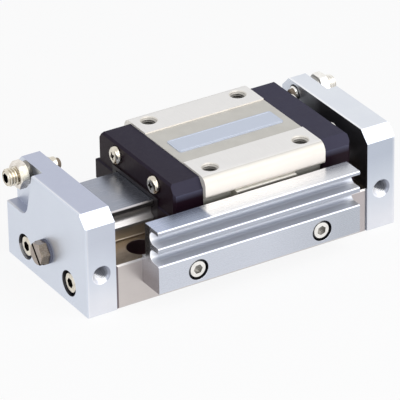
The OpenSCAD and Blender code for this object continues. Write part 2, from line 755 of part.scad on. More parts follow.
module switch_rail_screws() {
    grip = switch_w - switch_screw_head_h - switch_screw_sink + switch_screw_grip;
    color([0.8, 0.78, 0.7]) for (s = [-1, 1])
        translate([s * switch_screw_x, switch_face_y + switch_screw_sink, switch_screw_z]) face_side()
            socket_screw(switch_screw_d, switch_screw_head_d, switch_screw_head_h, switch_screw_hex, grip);
}

// ---------------------------------------------------------------- slide block

// Cross-section of the block: round-edged flange on two legs that straddle the head
module block_profile() {
    hw = block_w / 2;
    r = flange_r;
    lr = flange_low_r;
    difference() {
        union() {
            translate([-hw + r, flange_z + lr]) square([2 * (hw - r), table_z - flange_z - lr]);
            translate([-hw, flange_z + lr]) square([2 * hw, table_z - flange_z - lr - r]);
            translate([-hw + lr, flange_z]) square([2 * (hw - lr), lr + eps]);
            translate([-leg_w / 2, leg_z]) square([leg_w, flange_z - leg_z + eps]);
            for (s = [-1, 1]) {
                translate([s * (hw - r), table_z - r]) circle(r = r);
                translate([s * (hw - lr), flange_z + lr]) circle(r = lr);
            }
        }
        translate([-leg_in, leg_z - 1]) square([2 * leg_in, under_z - leg_z + 1]);
        translate([-channel_w / 2, floor_z]) square([channel_w, channel_t + 1]);
        for (s = [-1, 1]) {
            translate([s * track_y, track_z]) circle(r = track_r);
            translate([s * return_y, track_z]) circle(r = track_r);
        }
    }
}

module slide_block() {
    color([0.9, 0.89, 0.85]) at_table() difference() {
        translate([-block_l / 2, 0, 0]) along_x(block_l) block_profile();
        // tapped holes in the mounting face
        for (sx = [-1, 1], sy = [-1, 1])
            translate([sx * table_hole_dx / 2, sy * table_hole_dy / 2, table_z]) {
                drill(table_hole_d, table_hole_t);
                countersink(table_hole_d + 0.8, table_hole_d);
            }
        // tapped holes for the end caps
        for (sx = [-1, 1], sy = [-1, 1]) mirror([sx < 0 ? 1 : 0, 0, 0])
            translate([block_l / 2, sy * cap_screw_y, cap_screw_z]) face_x()
                drill(cap_screw_d, cap_screw_grip + 1);
        // seat of the drive pin
        translate([0, 0, under_z - 1])
            cylinder(d = pin_d + 2 * seat_gap, h = pin_z1 - under_z + 1 + seat_gap);
        // tapped holes for the magnet holder
        for (s = [-1, 1]) translate([s * holder_screw_x, -leg_w / 2, holder_z()]) face_side()
            drill(holder_screw_d, holder_screw_grip + 0.2);
    }
}

// Height of the magnet holder's middle, close under the flange
function holder_z() = flange_z - holder_h / 2;

module label_plate() {
    color([0.8, 0.85, 0.93]) at_table()
        translate([-label_l / 2, label_y - label_w / 2, floor_z]) cube([label_l, label_w, label_t]);
}

// Holder for the magnet that the switches sense, on the near leg
module magnet_holder() {
    y0 = -leg_w / 2;
    edge = 0.5;
    color([0.85, 0.84, 0.78]) at_table() difference() {
        translate([-holder_l / 2, 0, 0]) along_x(holder_l)
            polygon([[y0, flange_z - holder_h], [y0, flange_z], [y0 - holder_t + edge, flange_z],
                [y0 - holder_t, flange_z - edge], [y0 - holder_t, flange_z - holder_h + edge],
                [y0 - holder_t + edge, flange_z - holder_h]]);
        translate([-magnet_l / 2 - seat_gap, y0 - magnet_t - seat_gap, holder_z() - magnet_h / 2 - seat_gap])
            cube([magnet_l + 2 * seat_gap, magnet_t + 1, magnet_h + 2 * seat_gap]);
        for (s = [-1, 1]) translate([s * holder_screw_x, y0 - holder_t, holder_z()]) face_side() {
            drill(holder_screw_d + drill_gap, holder_t + 1);
            drill(holder_screw_d * 2, holder_screw_d * 0.6);
        }
    }
}

module sensing_magnet() {
    color([0.3, 0.3, 0.32]) at_table()
        translate([-magnet_l / 2, -leg_w / 2 - magnet_t, holder_z() - magnet_h / 2])
            cube([magnet_l, magnet_t, magnet_h]);
}

module magnet_screws() {
    head_h = holder_screw_d * 0.55;
    sink = holder_screw_d * 0.05;
    color([0.75, 0.74, 0.7]) at_table() for (s = [-1, 1])
        translate([s * holder_screw_x, -leg_w / 2 - holder_t + sink, holder_z()]) face_side()
            socket_screw(holder_screw_d, holder_screw_d * 1.85, head_h, holder_screw_d * 0.65,
                holder_t - sink - head_h + holder_screw_grip);
}

// ---------------------------------------------------------------- end caps

// A symmetric outline from the points of its right half, listed from the top down
module both_sides(half) {
    polygon(concat(half, [for (i = [len(half) - 1:-1:0]) [-half[i][0], half[i][1]]]));
}

// Body of a cap: bevelled shoulders above, and a wider foot that stands a little forward
module cap_body() {
    hw = cap_w / 2;
    low_hw = hw + cap_step;
    corner = cap_step / 2;
    intersection() {
        along_x(cap_t) both_sides([[hw - cap_bevel_y, cap_z], [hw, cap_z - cap_bevel_z], [hw, cap_low_z]]);
        broken_block(cap_t, hw, cap_low_z, cap_z, cap_edge);
    }
    intersection() {
        along_x(cap_t + cap_foot) both_sides([[hw, cap_step_z], [low_hw, cap_step_z - corner],
            [low_hw, cap_low_z + corner], [low_hw - corner, cap_low_z]]);
        broken_block(cap_t + cap_foot, low_hw, cap_low_z, cap_step_z, cap_edge);
    }
}

// Groove of the ball turns and seat of the return guides, about the block's end face
module ball_turn() {
    for (s = [-1, 1]) translate([0, s * turn_y, track_z]) {
        rotate_extrude() translate([turn_r, 0]) circle(r = track_r);
        translate([0, 0, -guide_half_h]) cylinder(r = guide_r, h = 2 * guide_half_h);
    }
}

module end_cap(side) {
    scraper_x = cap_t + cap_foot - scraper_t;
    color([0.22, 0.2, 0.26]) at_block_end(side) difference() {
        cap_body();
        // passage for the rail's head
        translate([-1, -head_w / 2 - cap_gap, cap_low_z - 1])
            cube([cap_t + 2, head_w + 2 * cap_gap, head_z + cap_gap - cap_low_z + 1]);
        ball_turn();
        // seat of the scraper
        translate([scraper_x, 0, 0]) along_x(scraper_t + 1)
            translate([-scraper_w / 2 - seat_gap, cap_low_z - 1])
                square([scraper_w + 2 * seat_gap, head_z + scraper_rim - cap_low_z + 1 + seat_gap]);
        // stepped holes for the cap's screws
        for (s = [-1, 1]) translate([cap_t, s * cap_screw_y, cap_screw_z]) face_x() {
            drill(cap_screw_d + 2 * drill_gap, cap_t + 1);
            drill(cap_screw_head_d + 0.8, cap_screw_sink);
        }
    }
}

module cap_screws(side) {
    color([0.82, 0.8, 0.72]) at_block_end(side) for (s = [-1, 1])
        translate([cap_t - cap_screw_sink, s * cap_screw_y, cap_screw_z]) face_x()
            pan_screw(cap_screw_d, cap_screw_head_d, cap_screw_head_h,
                cap_t - cap_screw_sink + cap_screw_grip);
}

// Half spools that the balls turn round, two to a cap
module return_guides(side) {
    color([0.85, 0.85, 0.8]) at_block_end(side) for (s = [-1, 1])
        translate([0, s * turn_y, track_z]) difference() {
            intersection() {
                translate([0, 0, -guide_half_h + seat_gap])
                    cylinder(r = guide_r - seat_gap, h = 2 * (guide_half_h - seat_gap));
                translate([0, -guide_r, -guide_half_h]) cube([guide_r, 2 * guide_r, 2 * guide_half_h]);
            }
            rotate_extrude() translate([turn_r, 0]) circle(r = track_r);
        }
}

// Scraper plate whose lips follow the head and its ball tracks
module scraper(side) {
    color([0.12, 0.11, 0.13]) at_block_end(side) translate([cap_t + cap_foot - scraper_t, 0, 0])
        along_x(scraper_t) difference() {
            translate([-scraper_w / 2, cap_low_z]) square([scraper_w, head_z + scraper_rim - cap_low_z]);
            difference() {
                translate([-head_w / 2 - scraper_gap, cap_low_z - 1])
                    square([head_w + 2 * scraper_gap, head_z + scraper_gap - cap_low_z + 1]);
                for (s = [-1, 1])
                    translate([s * track_y, track_z]) circle(r = track_r - scraper_gap);
            }
        }
}

// ---------------------------------------------------------------- balls

// One closed circuit of balls: a loaded row, a returning row and one ball in each turn
module ball_circuit(s) {
    pitch = ball_d + 0.02;
    straight = block_l / 2 + turn_r - sqrt(max(pitch * pitch - turn_r * turn_r, 0));
    count = floor(2 * straight / pitch);
    color([0.75, 0.75, 0.77]) at_table() translate([0, 0, track_z]) {
        for (y = [track_y, return_y], i = [0:count])
            translate([-straight + 2 * straight * i / count, s * y, 0]) sphere(d = ball_d);
        for (end = [-1, 1])
            translate([end * (block_l / 2 + turn_r), s * turn_y, 0]) sphere(d = ball_d);
    }
}

// Strips above and below the loaded rows that keep the balls in the block
module ball_retainers() {
    reach = track_r + 0.1;
    color([0.7, 0.7, 0.72]) at_table() for (s = [-1, 1], z = [track_z + reach, track_z - reach - strip_h])
        translate([-block_l / 2, s > 0 ? leg_in - strip_t : -leg_in, z]) cube([block_l, strip_t, strip_h]);
}

guide_rail();
end_plate(-1);  // left_end_plate
end_plate(1);  // right_end_plate
plate_screws(-1);  // left_plate_screws
plate_screws(1);  // right_plate_screws
port_plug(-1);  // left_port_plug
port_plug(1);  // right_port_plug
plug_gasket(-1);  // left_plug_gasket
plug_gasket(1);  // right_plug_gasket
bore_seal(-1);  // left_bore_seal
bore_seal(1);  // right_bore_seal
lock_nut(-1);  // left_lock_nut
lock_nut(1);  // right_lock_nut
adjuster_bolt(-1);  // left_adjuster_bolt
adjuster_bolt(1);  // right_adjuster_bolt
bumper(-1);  // left_bumper
bumper(1);  // right_bumper
switch_rail();
switch_rail_screws();
slide_block();
end_cap(-1);  // left_end_cap
end_cap(1);  // right_end_cap
cap_screws(-1);  // left_cap_screws
cap_screws(1);  // right_cap_screws
return_guides(-1);  // left_return_guides
return_guides(1);  // right_return_guides
scraper(-1);  // left_scraper
scraper(1);  // right_scraper
ball_circuit(-1);  // near_balls
ball_circuit(1);  // far_balls
ball_retainers();
label_plate();
magnet_holder();
sensing_magnet();
magnet_screws();
twin_piston();
piston_seal(-1);  // left_piston_seal
piston_seal(1);  // right_piston_seal
wear_ring(-1);  // left_wear_ring
wear_ring(1);  // right_wear_ring
floating_bush();
drive_pin();
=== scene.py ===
# Pneumatic slide table: finishes, threads, screws, edges, light and camera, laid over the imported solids.
import bpy
import json
import math
from mathutils import Matrix, Vector


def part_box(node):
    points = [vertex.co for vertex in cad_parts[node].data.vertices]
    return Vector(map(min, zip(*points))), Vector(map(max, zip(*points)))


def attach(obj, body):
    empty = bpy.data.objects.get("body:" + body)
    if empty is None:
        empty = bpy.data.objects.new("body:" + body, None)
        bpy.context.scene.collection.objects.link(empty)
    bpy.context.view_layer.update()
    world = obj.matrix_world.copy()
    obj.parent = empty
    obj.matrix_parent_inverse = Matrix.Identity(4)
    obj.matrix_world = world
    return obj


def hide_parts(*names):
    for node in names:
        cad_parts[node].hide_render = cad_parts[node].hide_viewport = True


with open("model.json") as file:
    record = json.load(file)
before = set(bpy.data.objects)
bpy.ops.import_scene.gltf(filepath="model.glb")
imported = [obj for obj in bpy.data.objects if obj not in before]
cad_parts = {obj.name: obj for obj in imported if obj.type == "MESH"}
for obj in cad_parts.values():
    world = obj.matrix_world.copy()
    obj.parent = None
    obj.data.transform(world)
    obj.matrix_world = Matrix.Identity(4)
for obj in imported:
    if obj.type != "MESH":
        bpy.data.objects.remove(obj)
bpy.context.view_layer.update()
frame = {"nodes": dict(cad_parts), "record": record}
MM = 0.001
ENDS = {"left": -1, "right": 1}


def span(node):
    """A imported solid's lowest and highest corners, in millimetres."""
    low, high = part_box(node)
    return low / MM, high / MM


def centre(node):
    low, high = span(node)
    return (low + high) / 2


def mount(name):
    """A mount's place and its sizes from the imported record, in millimetres."""
    row = next(row for row in frame["record"]["mounts"] if row["name"] == name)
    return Vector(row["pos_m"]) / MM, row["dims"]


def holes(name):
    """The middle of a mount's four holes, and how far they stand from it along X and along Y."""
    at, sizes = mount(name)
    return at, sizes["spacing_x_mm"] / 2, sizes["spacing_y_mm"] / 2


LEDGE_Z = 15.3      # the rail's ledges, from which its head rises
BORE_Z = centre("twin_piston").z
SIDE_PORT_Z = mount("left_side_port")[0].z
NUT = centre("left_lock_nut")
PLATE_HEAD_D, SWITCH_HEAD_D, MAGNET_HEAD_D = 7, 5.5, 3.7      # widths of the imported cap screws' heads


# ---------------------------------------------------------------- working by hand

def only(*things):
    """These objects selected and no others, the first one active."""
    bpy.ops.object.select_all(action="DESELECT")
    for thing in things:
        thing.select_set(True)
    bpy.context.view_layer.objects.active = things[0]


def made(name):
    """Names the object that an operator has just added."""
    piece = bpy.context.view_layer.objects.active
    piece.name = piece.data.name = name
    return piece


def open_some(piece, kind, test):
    """Goes into edit mode with those of its points, edges or faces chosen that pass the test."""
    only(piece)
    families = {"points": piece.data.vertices, "edges": piece.data.edges, "faces": piece.data.polygons}
    bpy.context.tool_settings.mesh_select_mode = [name == kind for name in families]
    for name, family in families.items():
        for item in family:
            item.select = name == kind and bool(test(item))
    bpy.ops.object.mode_set(mode="EDIT")


def open_all(piece):
    """Goes into edit mode with everything chosen."""
    only(piece)
    bpy.context.tool_settings.mesh_select_mode = (True, False, False)
    bpy.ops.object.mode_set(mode="EDIT")
    bpy.ops.mesh.select_all(action="SELECT")


def close():
    bpy.ops.object.mode_set(mode="OBJECT")


def tidy(piece):
    """Merges doubles and turns every face outwards."""
    open_all(piece)
    bpy.ops.mesh.remove_doubles(threshold=1e-6)
    bpy.ops.mesh.normals_make_consistent(inside=False)
    close()
    return piece


def modify(piece, kind, **settings):
    """Adds one modifier and applies it."""
    only(piece)
    m = piece.modifiers.new(kind.title(), kind)
    for key, value in settings.items():
        setattr(m, key, value)
    bpy.ops.object.modifier_apply(modifier=m.name)
    return piece


def smooth(piece, angle=32):
    only(piece)
    bpy.ops.object.shade_smooth_by_angle(angle=math.radians(angle))
    return piece


def cut(piece, *tools):
    """Cuts the tools out of a piece and clears them away."""
    for tool in tools:
        modify(piece, "BOOLEAN", operation="DIFFERENCE", solver="EXACT", object=tool)
        bpy.data.objects.remove(tool)


def mark(piece, test, strength=1.0, kind="recess"):
    """Marks the faces whose middle, in millimetres, and normal pass the test, for their finish to use."""
    mesh = piece.data
    layer = mesh.attributes.get(kind) or mesh.attributes.new(kind, "FLOAT", "FACE")
    for p in mesh.polygons:
        if test(p.center / MM, p.normal):
            layer.data[p.index].value = strength


def weld(name, *parts):
    """Joins parts into one object."""
    only(*parts)
    bpy.ops.object.join()
    return made(name)


def twin(piece, name):
    """A copy with its own mesh."""
    copy = piece.copy()
    copy.data = piece.data.copy()
    copy.name = copy.data.name = name
    bpy.context.scene.collection.objects.link(copy)
    return copy


def put(piece, at, along=(0, 0, 1), turn=0.0):
    """Turns a piece drawn along Z to point the given way, and moves it to its place for good."""
    way = Vector(along).normalized().to_track_quat("Z", "Y").to_matrix().to_4x4()
    spin = Matrix.Rotation(math.radians(turn), 4, "Z")
    piece.matrix_world = Matrix.Translation(Vector(at) * MM) @ way @ spin
    only(piece)
    bpy.ops.object.transform_apply(location=True, rotation=True, scale=True)
    return piece


def drawn(name, outline):
    """Draws a point out along an outline (radius, height); stays in edit mode, all of it chosen."""
    bpy.ops.mesh.primitive_plane_add(size=MM, location=(0, 0, 0))
    piece = made(name)
    open_all(piece)
    bpy.ops.mesh.merge(type="CENTER")
    r, z = outline[0]
    bpy.ops.transform.translate(value=(r * MM, 0, z * MM))
    for r2, z2 in outline[1:]:
        step = ((r2 - r) * MM, 0, (z2 - z) * MM)
        bpy.ops.mesh.extrude_region_move(TRANSFORM_OT_translate={"value": step})
        r, z = r2, z2
    bpy.ops.mesh.select_all(action="SELECT")
    return piece


def turned(name, outline, steps):
    """A turned piece about Z with this outline."""
    piece = drawn(name, outline)
    bpy.ops.mesh.spin(steps=steps, angle=math.tau, center=(0, 0, 0), axis=(0, 0, 1))
    close()
    return tidy(piece)


def thread(name, foot, crest, pitch, low, high):
    """A helical ridge about Z between two heights, which fades out at both ends.

    Its crest's radius is the larger for a screw's thread and the smaller for a tapped one.
    """
    side = 1 if crest > foot else -1
    root, half, flat = foot - side * 0.12, pitch * 0.46, pitch * 0.07
    turns = max(2, int(round((high - low) / pitch)) + 2)
    start = low - pitch
    ridge = drawn(name, [(root, start - half), (foot, start - half), (crest, start - flat),
                         (crest, start + flat), (foot, start + half), (root, start + half)])
    bpy.ops.mesh.edge_face_add()
    bpy.ops.mesh.delete(type="ONLY_FACE")
    close()
    modify(ridge, "SCREW", angle=math.tau, screw_offset=pitch * MM, iterations=turns, steps=36,
           render_steps=36, axis="Z", use_merge_vertices=False)
    open_some(ridge, "edges", lambda edge: True)
    bpy.ops.mesh.remove_doubles(threshold=1e-7)
    bpy.ops.mesh.select_all(action="DESELECT")
    bpy.ops.mesh.select_non_manifold()
    bpy.ops.mesh.fill_holes(sides=12)
    bpy.ops.mesh.select_all(action="SELECT")
    bpy.ops.mesh.normals_make_consistent(inside=False)
    close()
    tip, rise = crest + side * 0.05, abs(crest - foot)
    fade = [(foot, low), (tip, low + rise), (tip, high - rise), (foot, high)]
    if side > 0:
        gauge = turned("gauge", [(0, low), *fade, (0, high)], 48)
    else:
        wall = foot + 0.3
        gauge = turned("gauge", [(wall, low), *fade, (wall, high), (wall, low)], 48)
    modify(ridge, "BOOLEAN", operation="INTERSECT", solver="EXACT", object=gauge)
    bpy.data.objects.remove(gauge)
    return smooth(ridge, 40)


def solid_copy(node, name):
    """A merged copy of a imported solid, with its flat faces made whole."""
    piece = twin(frame["nodes"][node], name)
    piece.parent = None
    for key in list(piece.keys()):
        del piece[key]
    open_all(piece)
    bpy.ops.mesh.remove_doubles(threshold=2e-6)
    bpy.ops.mesh.dissolve_limited(angle_limit=math.radians(0.6))
    bpy.ops.mesh.normals_make_consistent(inside=False)
    close()
    return piece


FACE_STRENGTH = "__mod_weightednormals_faceweight"   # where a bevel gives its new faces a number below 0


def broken_edges(node, name, width, segments=2, angle=28, reshape=None):
    """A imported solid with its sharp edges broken, as if deburred, and those strips marked."""
    piece = solid_copy(node, name)
    if reshape:
        reshape(piece)
    modify(piece, "BEVEL", width=width * MM, segments=segments, limit_method="ANGLE",
           angle_limit=math.radians(angle), use_clamp_overlap=True, harden_normals=False,
           miter_outer="MITER_ARC", face_strength_mode="FSTR_ALL")
    attributes = piece.data.attributes
    # the bevel's strips, which the finishes paint as highlights
    edge_strips = attributes.new("edge", "FLOAT", "FACE")
    for strip, face in zip(edge_strips.data, attributes[FACE_STRENGTH].data):
        strip.value = float(face.value < 0)
    attributes.remove(attributes[FACE_STRENGTH])
    smooth(piece, 35)
    modify(piece, "WEIGHTED_NORMAL", keep_sharp=True, weight=60)
    return piece


# ---------------------------------------------------------------- finishes

def tone(r, g, b):
    """A colour given as eight-bit screen values."""
    def lin(c):
        c /= 255
        return c / 12.92 if c <= 0.04045 else ((c + 0.055) / 1.055) ** 2.4
    return (lin(r), lin(g), lin(b), 1.0)


class Wire:
    """A value in a node tree; arithmetic on it adds Math nodes."""
    def __init__(self, nodes, socket):
        self.nodes, self.socket = nodes, socket

    def calculate(self, operation, *values):
        return self.nodes.add("Math", {"operation": operation}, dict(enumerate(values)))["Value"]

    def __add__(self, other):
        return self.calculate("ADD", self, other)

    def __radd__(self, other):
        return self.calculate("ADD", other, self)

    def __sub__(self, other):
        return self.calculate("SUBTRACT", self, other)

    def __rsub__(self, other):
        return self.calculate("SUBTRACT", other, self)

    def __mul__(self, other):
        return self.calculate("MULTIPLY", self, other)

    def __rmul__(self, other):
        return self.calculate("MULTIPLY", other, self)

    def __gt__(self, other):
        return self.calculate("GREATER_THAN", self, other)

    def __lt__(self, other):
        return self.calculate("LESS_THAN", self, other)

    def __abs__(self):
        return self.calculate("ABSOLUTE", self)

    def root(self):
        return self.calculate("SQRT", self)

    def within(self, low, high):
        """This value spread from 0 to 1 between two limits, held at the ends."""
        limits = {"Value": self, "From Min": low, "From Max": high}
        return self.nodes.add("MapRange", {"clamp": True}, limits)["Result"]


class Sockets:
    """The outputs of one node, by name."""
    def __init__(self, nodes, node):
        self.nodes, self.node = nodes, node

    def __getitem__(self, name):
        if self.node.bl_idname == "ShaderNodeMix" and name == "Result":
            return Wire(self.nodes, next(s for s in self.node.outputs if s.enabled))
        return Wire(self.nodes, self.node.outputs[name])


class Nodes:
    """The emptied node tree of a material or of the world."""
    def __init__(self, owner):
        owner.use_nodes = True
        self.tree = owner.node_tree
        self.tree.nodes.clear()

    def give(self, socket, value):
        """Links a wire to a socket, or sets a plain value there."""
        if isinstance(value, Wire):
            self.tree.links.new(value.socket, socket)
        else:
            socket.default_value = value

    def add(self, kind, settings=None, values=None):
        """One node: its type, its settings first, then the values or links of its sockets."""
        node = self.tree.nodes.new("ShaderNode" + kind)
        for key, value in (settings or {}).items():
            setattr(node, key, value)
        for key, value in (values or {}).items():
            socket = node.inputs[key]
            if kind == "Mix" and isinstance(key, str):
                socket = next(s for s in node.inputs if s.name == key and s.enabled)
            self.give(socket, value)
        return Sockets(self, node)


class Finish(Nodes):
    """A procedural material: a Principled shader and what feeds it."""
    def __init__(self, name, colour, metallic=0.0, roughness=0.5, **constant):
        self.material = bpy.data.materials.new(name)
        super().__init__(self.material)
        values = {"Base Color": colour, "Metallic": metallic, "Roughness": roughness, **constant}
        self.shader = self.add("BsdfPrincipled", {}, values)
        self.add("OutputMaterial", {}, {"Surface": self.shader["BSDF"]})
        self.colour = colour
        self.relief = None
        self.place = self.add("TexCoord")["Object"]

    def feed(self, name, value):
        self.give(self.shader.node.inputs[name], value)

    def blend(self, factor, a, b):
        """Colour a where the factor is 0 and b where it is 1."""
        return self.add("Mix", {"data_type": "RGBA"}, {"Factor": factor, "A": a, "B": b})["Result"]

    def noise(self, size, detail, roughness=0.5, stretch=(1, 1, 1)):
        """Noise from 0 to 1 whose features are about size millimetres, stretched where stretch is small."""
        scale = [s / (size * MM) for s in stretch]
        place = self.add("Mapping", {}, {"Vector": self.place, "Scale": scale})["Vector"]
        return self.add("TexNoise", {}, {"Vector": place, "Scale": 1.0, "Detail": detail,
                                         "Roughness": roughness})["Fac"]

    def axis(self, name):
        return self.add("SeparateXYZ", {}, {0: self.place})[name]

    def facing(self, name):
        """How far the surface faces along one axis of the object."""
        return self.add("SeparateXYZ", {}, {0: self.add("TexCoord")["Normal"]})[name]

    def along(self, name, start, end):
        """From 0 at one place on an axis to 1 at another, in millimetres."""
        return self.axis(name).within(start * MM, end * MM)

    def above(self, z):
        return self.axis("Z") > z * MM

    def below(self, z):
        return self.axis("Z") < z * MM

    def level(self):
        """1 where the surface faces up."""
        return self.facing("Z").within(0.85, 0.97)

    def near_side(self):
        """1 where the surface faces the switch rail's side."""
        return self.facing("Y").within(-0.8, -0.95)

    def around(self, places, outer, inner):
        """From 0 to 1 between two radii round a line, which is given by its place on two axes."""
        one, other = (self.axis(name) - place * MM for name, place in places.items())
        return (one * one + other * other).root().within(outer * MM, inner * MM)

    def marked(self, kind="recess"):
        """How strongly the faces are marked on the piece."""
        return self.add("Attribute", {"attribute_name": kind})["Fac"]

    def bump(self, height, depth):
        """Adds relief of a depth in millimetres over what is there."""
        values = {"Height": height, "Distance": depth * MM}
        if self.relief is not None:
            values["Normal"] = self.relief
        self.relief = self.add("Bump", {}, values)["Normal"]
        self.feed("Normal", self.relief)

    def tint(self, factor, colour):
        self.colour = self.blend(factor, self.colour, colour)
        self.feed("Base Color", self.colour)

    def rough(self, value):
        self.feed("Roughness", value)


EDGE_HIGHLIGHT = tone(252, 252, 255)     # painted highlight on aluminium's broken edges and the plates' left rims


def anodised(name, colour, plate=None, top_colour=None, flank_colour=tone(190, 195, 208)):
    """Bead-blasted, clear-anodised aluminium, with painted shade in its bores and on its upper flanks,
    and painted highlights on its broken edges.

    An end plate gives its node's name, for the painted reflection on its top, the painted highlight
    on its left rim and the painted light and shade of its side port.
    """
    f = Finish(name, colour, metallic=0.86, roughness=0.36)
    if plate:
        low, high = span(plate)
        # the top painted with the reflection it shows, and a painted highlight along its left rim
        f.tint(f.level(), top_colour)
        f.tint(f.level() * f.along("X", low.x + 1.1, low.x + 0.5) * 0.7, EDGE_HIGHLIGHT)    # the left rim
    # painted shade on the flanks' upper part, painted light low down and a painted highlight near the outer
    # faces
    flank = abs(f.facing("Y")).within(0.8, 0.97)
    f.tint(flank * f.along("Z", 14, 26) * 0.8, flank_colour)
    f.tint(flank * f.along("Z", 14, 4) * 0.8, tone(234, 234, 239))
    f.tint(flank * abs(f.axis("X")).within(55.2 * MM, 56.2 * MM) * 0.6, tone(250, 250, 253))
    f.tint(f.noise(9, 2).within(0.35, 0.7) * 0.14, tone(196, 202, 216))
    grain = f.noise(0.16, 2)
    f.tint(grain.within(0.3, 0.75) * 0.10, tone(244, 246, 252))
    # the table's shade on the face towards it
    f.tint(f.marked("inner") * f.along("Y", 17, 2) * f.above(LEDGE_Z - 0.1) * 0.9, tone(36, 22, 29))
    # painted shade in the bores, counterbores, side port and the nut's sill
    f.tint(f.marked() * 0.9, tone(44, 42, 52))
    # the lock nut's shade on the wall behind it
    by_nut = f.around({"Y": NUT.y, "Z": NUT.z}, 8.6, 5.2)
    by_nut = by_nut * f.along("Y", NUT.y, NUT.y - 3) * f.along("Z", NUT.z - 2, NUT.z + 2)
    f.tint(f.marked("seat") * by_nut * 0.7, tone(88, 90, 108))
    # painted highlights on the broken edges
    f.tint(f.marked("edge") * 0.75, EDGE_HIGHLIGHT)
    if plate:
        # the side port's mouth: its rim shaded on the right, its thread lit low down and on the left
        port_x = (low.x + high.x) / 2
        port = f.around({"X": port_x, "Z": SIDE_PORT_Z}, 3.3, 3.1) * (f.axis("Y") < (low.y + 6) * MM)
        shaded = (1 - f.marked()) * f.along("X", port_x + 0.2, port_x + 1.2)
        f.tint(port * shaded * 0.8, tone(128, 132, 146))
        depth = f.axis("Y") - low.y * MM
        lit = (f.axis("X") - port_x * MM + depth * 0.25).within(2.1 * MM, 1.6 * MM)
        lit = lit * f.along("Z", SIDE_PORT_Z + 1.3, SIDE_PORT_Z + 0.5)
        f.tint(port * lit * 0.92, tone(250, 251, 255))
    f.rough(0.3 + f.noise(2.5, 3) * 0.12)
    f.bump(grain, 0.006)
    f.bump(f.noise(0.5, 2), 0.004)
    return f.material


def milled(name):
    """Milled holder painted with the shade of the block: a painted highlight on top, painted grey light on
    its left end, painted shade on its sides.
    """
    # a dark colour as painted shade, a painted highlight on top and painted light on the left end
    f = Finish(name, tone(58, 54, 48), metallic=0.5, roughness=0.34)
    f.tint(f.facing("Z").within(0.7, 0.9), tone(255, 253, 248))
    f.tint(f.facing("X").within(-0.5, -0.9) * f.along("Z", 24.6, 26.4), tone(196, 192, 178))
    f.tint(f.noise(3, 3).within(0.4, 0.7) * 0.12, tone(150, 144, 132))
    lines = f.noise(0.14, 2, 0.6, (0.02, 1, 1))
    f.rough(0.3 + lines * 0.12)
    f.bump(lines, 0.001)
    return f.material


def rail_steel(name):
    """Hardened rail steel: ground lengthways on top, bright on its side, its ledges painted brown for
    the dark reflection they show, with painted shade in its holes and bore.
    """
    f = Finish(name, tone(206, 203, 202), metallic=0.9, roughness=0.24)
    level, base = f.level(), f.below(16)
    f.tint(abs(f.facing("Y")).within(0.6, 0.95) * f.below(15.2), tone(204, 197, 194))
    f.tint(level, tone(156, 161, 174))
    # the ledges painted brown for the dark reflection of the head's shaded sides
    f.tint(level * base, tone(158, 144, 128))
    # the head's sides: painted shade under the top's broken edge, that edge painted grey to tone down
    # its highlight, and painted warm light from the ledges low down
    head = abs(f.facing("Y")).within(0.2, 0.5) * (abs(f.axis("Y")) < 12 * MM)
    f.tint(head * f.along("Z", 22.9, 24.1) * f.below(25.5) * 0.85, tone(44, 36, 38))
    f.tint(head * f.above(25.5) * 0.85, tone(142, 140, 144))
    f.tint(head * f.along("Z", 19.3, 18.5) * 0.85, tone(206, 190, 166))
    # painted shade on the base's near side towards the right plate
    f.tint(f.near_side() * base * f.along("X", 36, 40) * 0.3, tone(150, 140, 152))
    lines = f.noise(0.1, 2, 0.6, (0.01, 1, 1))
    f.tint(lines.within(0.35, 0.7) * 0.08, tone(120, 118, 118))
    f.tint(f.noise(5, 3).within(0.4, 0.7) * 0.10, tone(178, 172, 170))
    # painted shade in the holes, bore and left-end slant; broken edges painted grey to damp their highlight
    f.tint(f.marked() * 0.92, tone(96, 72, 78))
    f.tint(f.marked("edge") * 0.8, tone(136, 134, 138))
    f.rough(0.34 - level * 0.1 + lines * 0.05)
    f.bump(lines, 0.0005)
    return f.material


def block_steel(name):
    """Ground block: lands and flanks bright, the channel greyer, with painted shade low down and in its
    bores, painted light on its legs' inner sides and painted highlights on its broken edges.
    """
    f = Finish(name, tone(238, 234, 226), metallic=0.35, roughness=0.3)
    level, sideways = f.level(), abs(f.facing("Y"))
    f.tint(sideways.within(0.6, 0.95), tone(254, 247, 238))
    f.tint(level, tone(236, 234, 232))
    f.tint(level * f.below(35.8) * f.above(35.4), tone(196, 193, 186))    # the channel's floor
    f.tint(f.facing("Z").within(0.1, 0.45) * f.facing("Z").within(0.97, 0.85) * 0.55, tone(214, 209, 200))
    # painted shade under the flange, from z 30 down
    f.tint(f.along("Z", 30.0, 28.3), tone(178, 174, 160))
    # light on the legs' inner sides, with shade above and below it
    legs = (abs(f.axis("Y")) < 21.95 * MM) * f.below(28.6)
    f.tint(legs * sideways.within(0.6, 0.9) * f.along("Z", 25.6, 27.6), tone(255, 252, 244))
    f.tint(f.along("Z", 26.6, 25.0), tone(122, 118, 108))
    lines = f.noise(0.13, 2, 0.6, (1, 0.02, 1))
    f.tint(lines.within(0.35, 0.7) * 0.10, tone(176, 174, 170))
    f.tint(f.noise(6, 3).within(0.4, 0.7) * 0.10, tone(252, 250, 246))
    # painted shade deepening down the tapped holes, painted highlights on the broken edges
    f.tint(f.marked() * f.along("Z", 36.1, 34.0), tone(30, 23, 20))
    f.tint(f.marked("edge") * 0.4, tone(252, 250, 246))
    f.rough(0.3 + sideways * 0.2 + lines * 0.1)
    f.bump(lines, 0.0012)
    return f.material


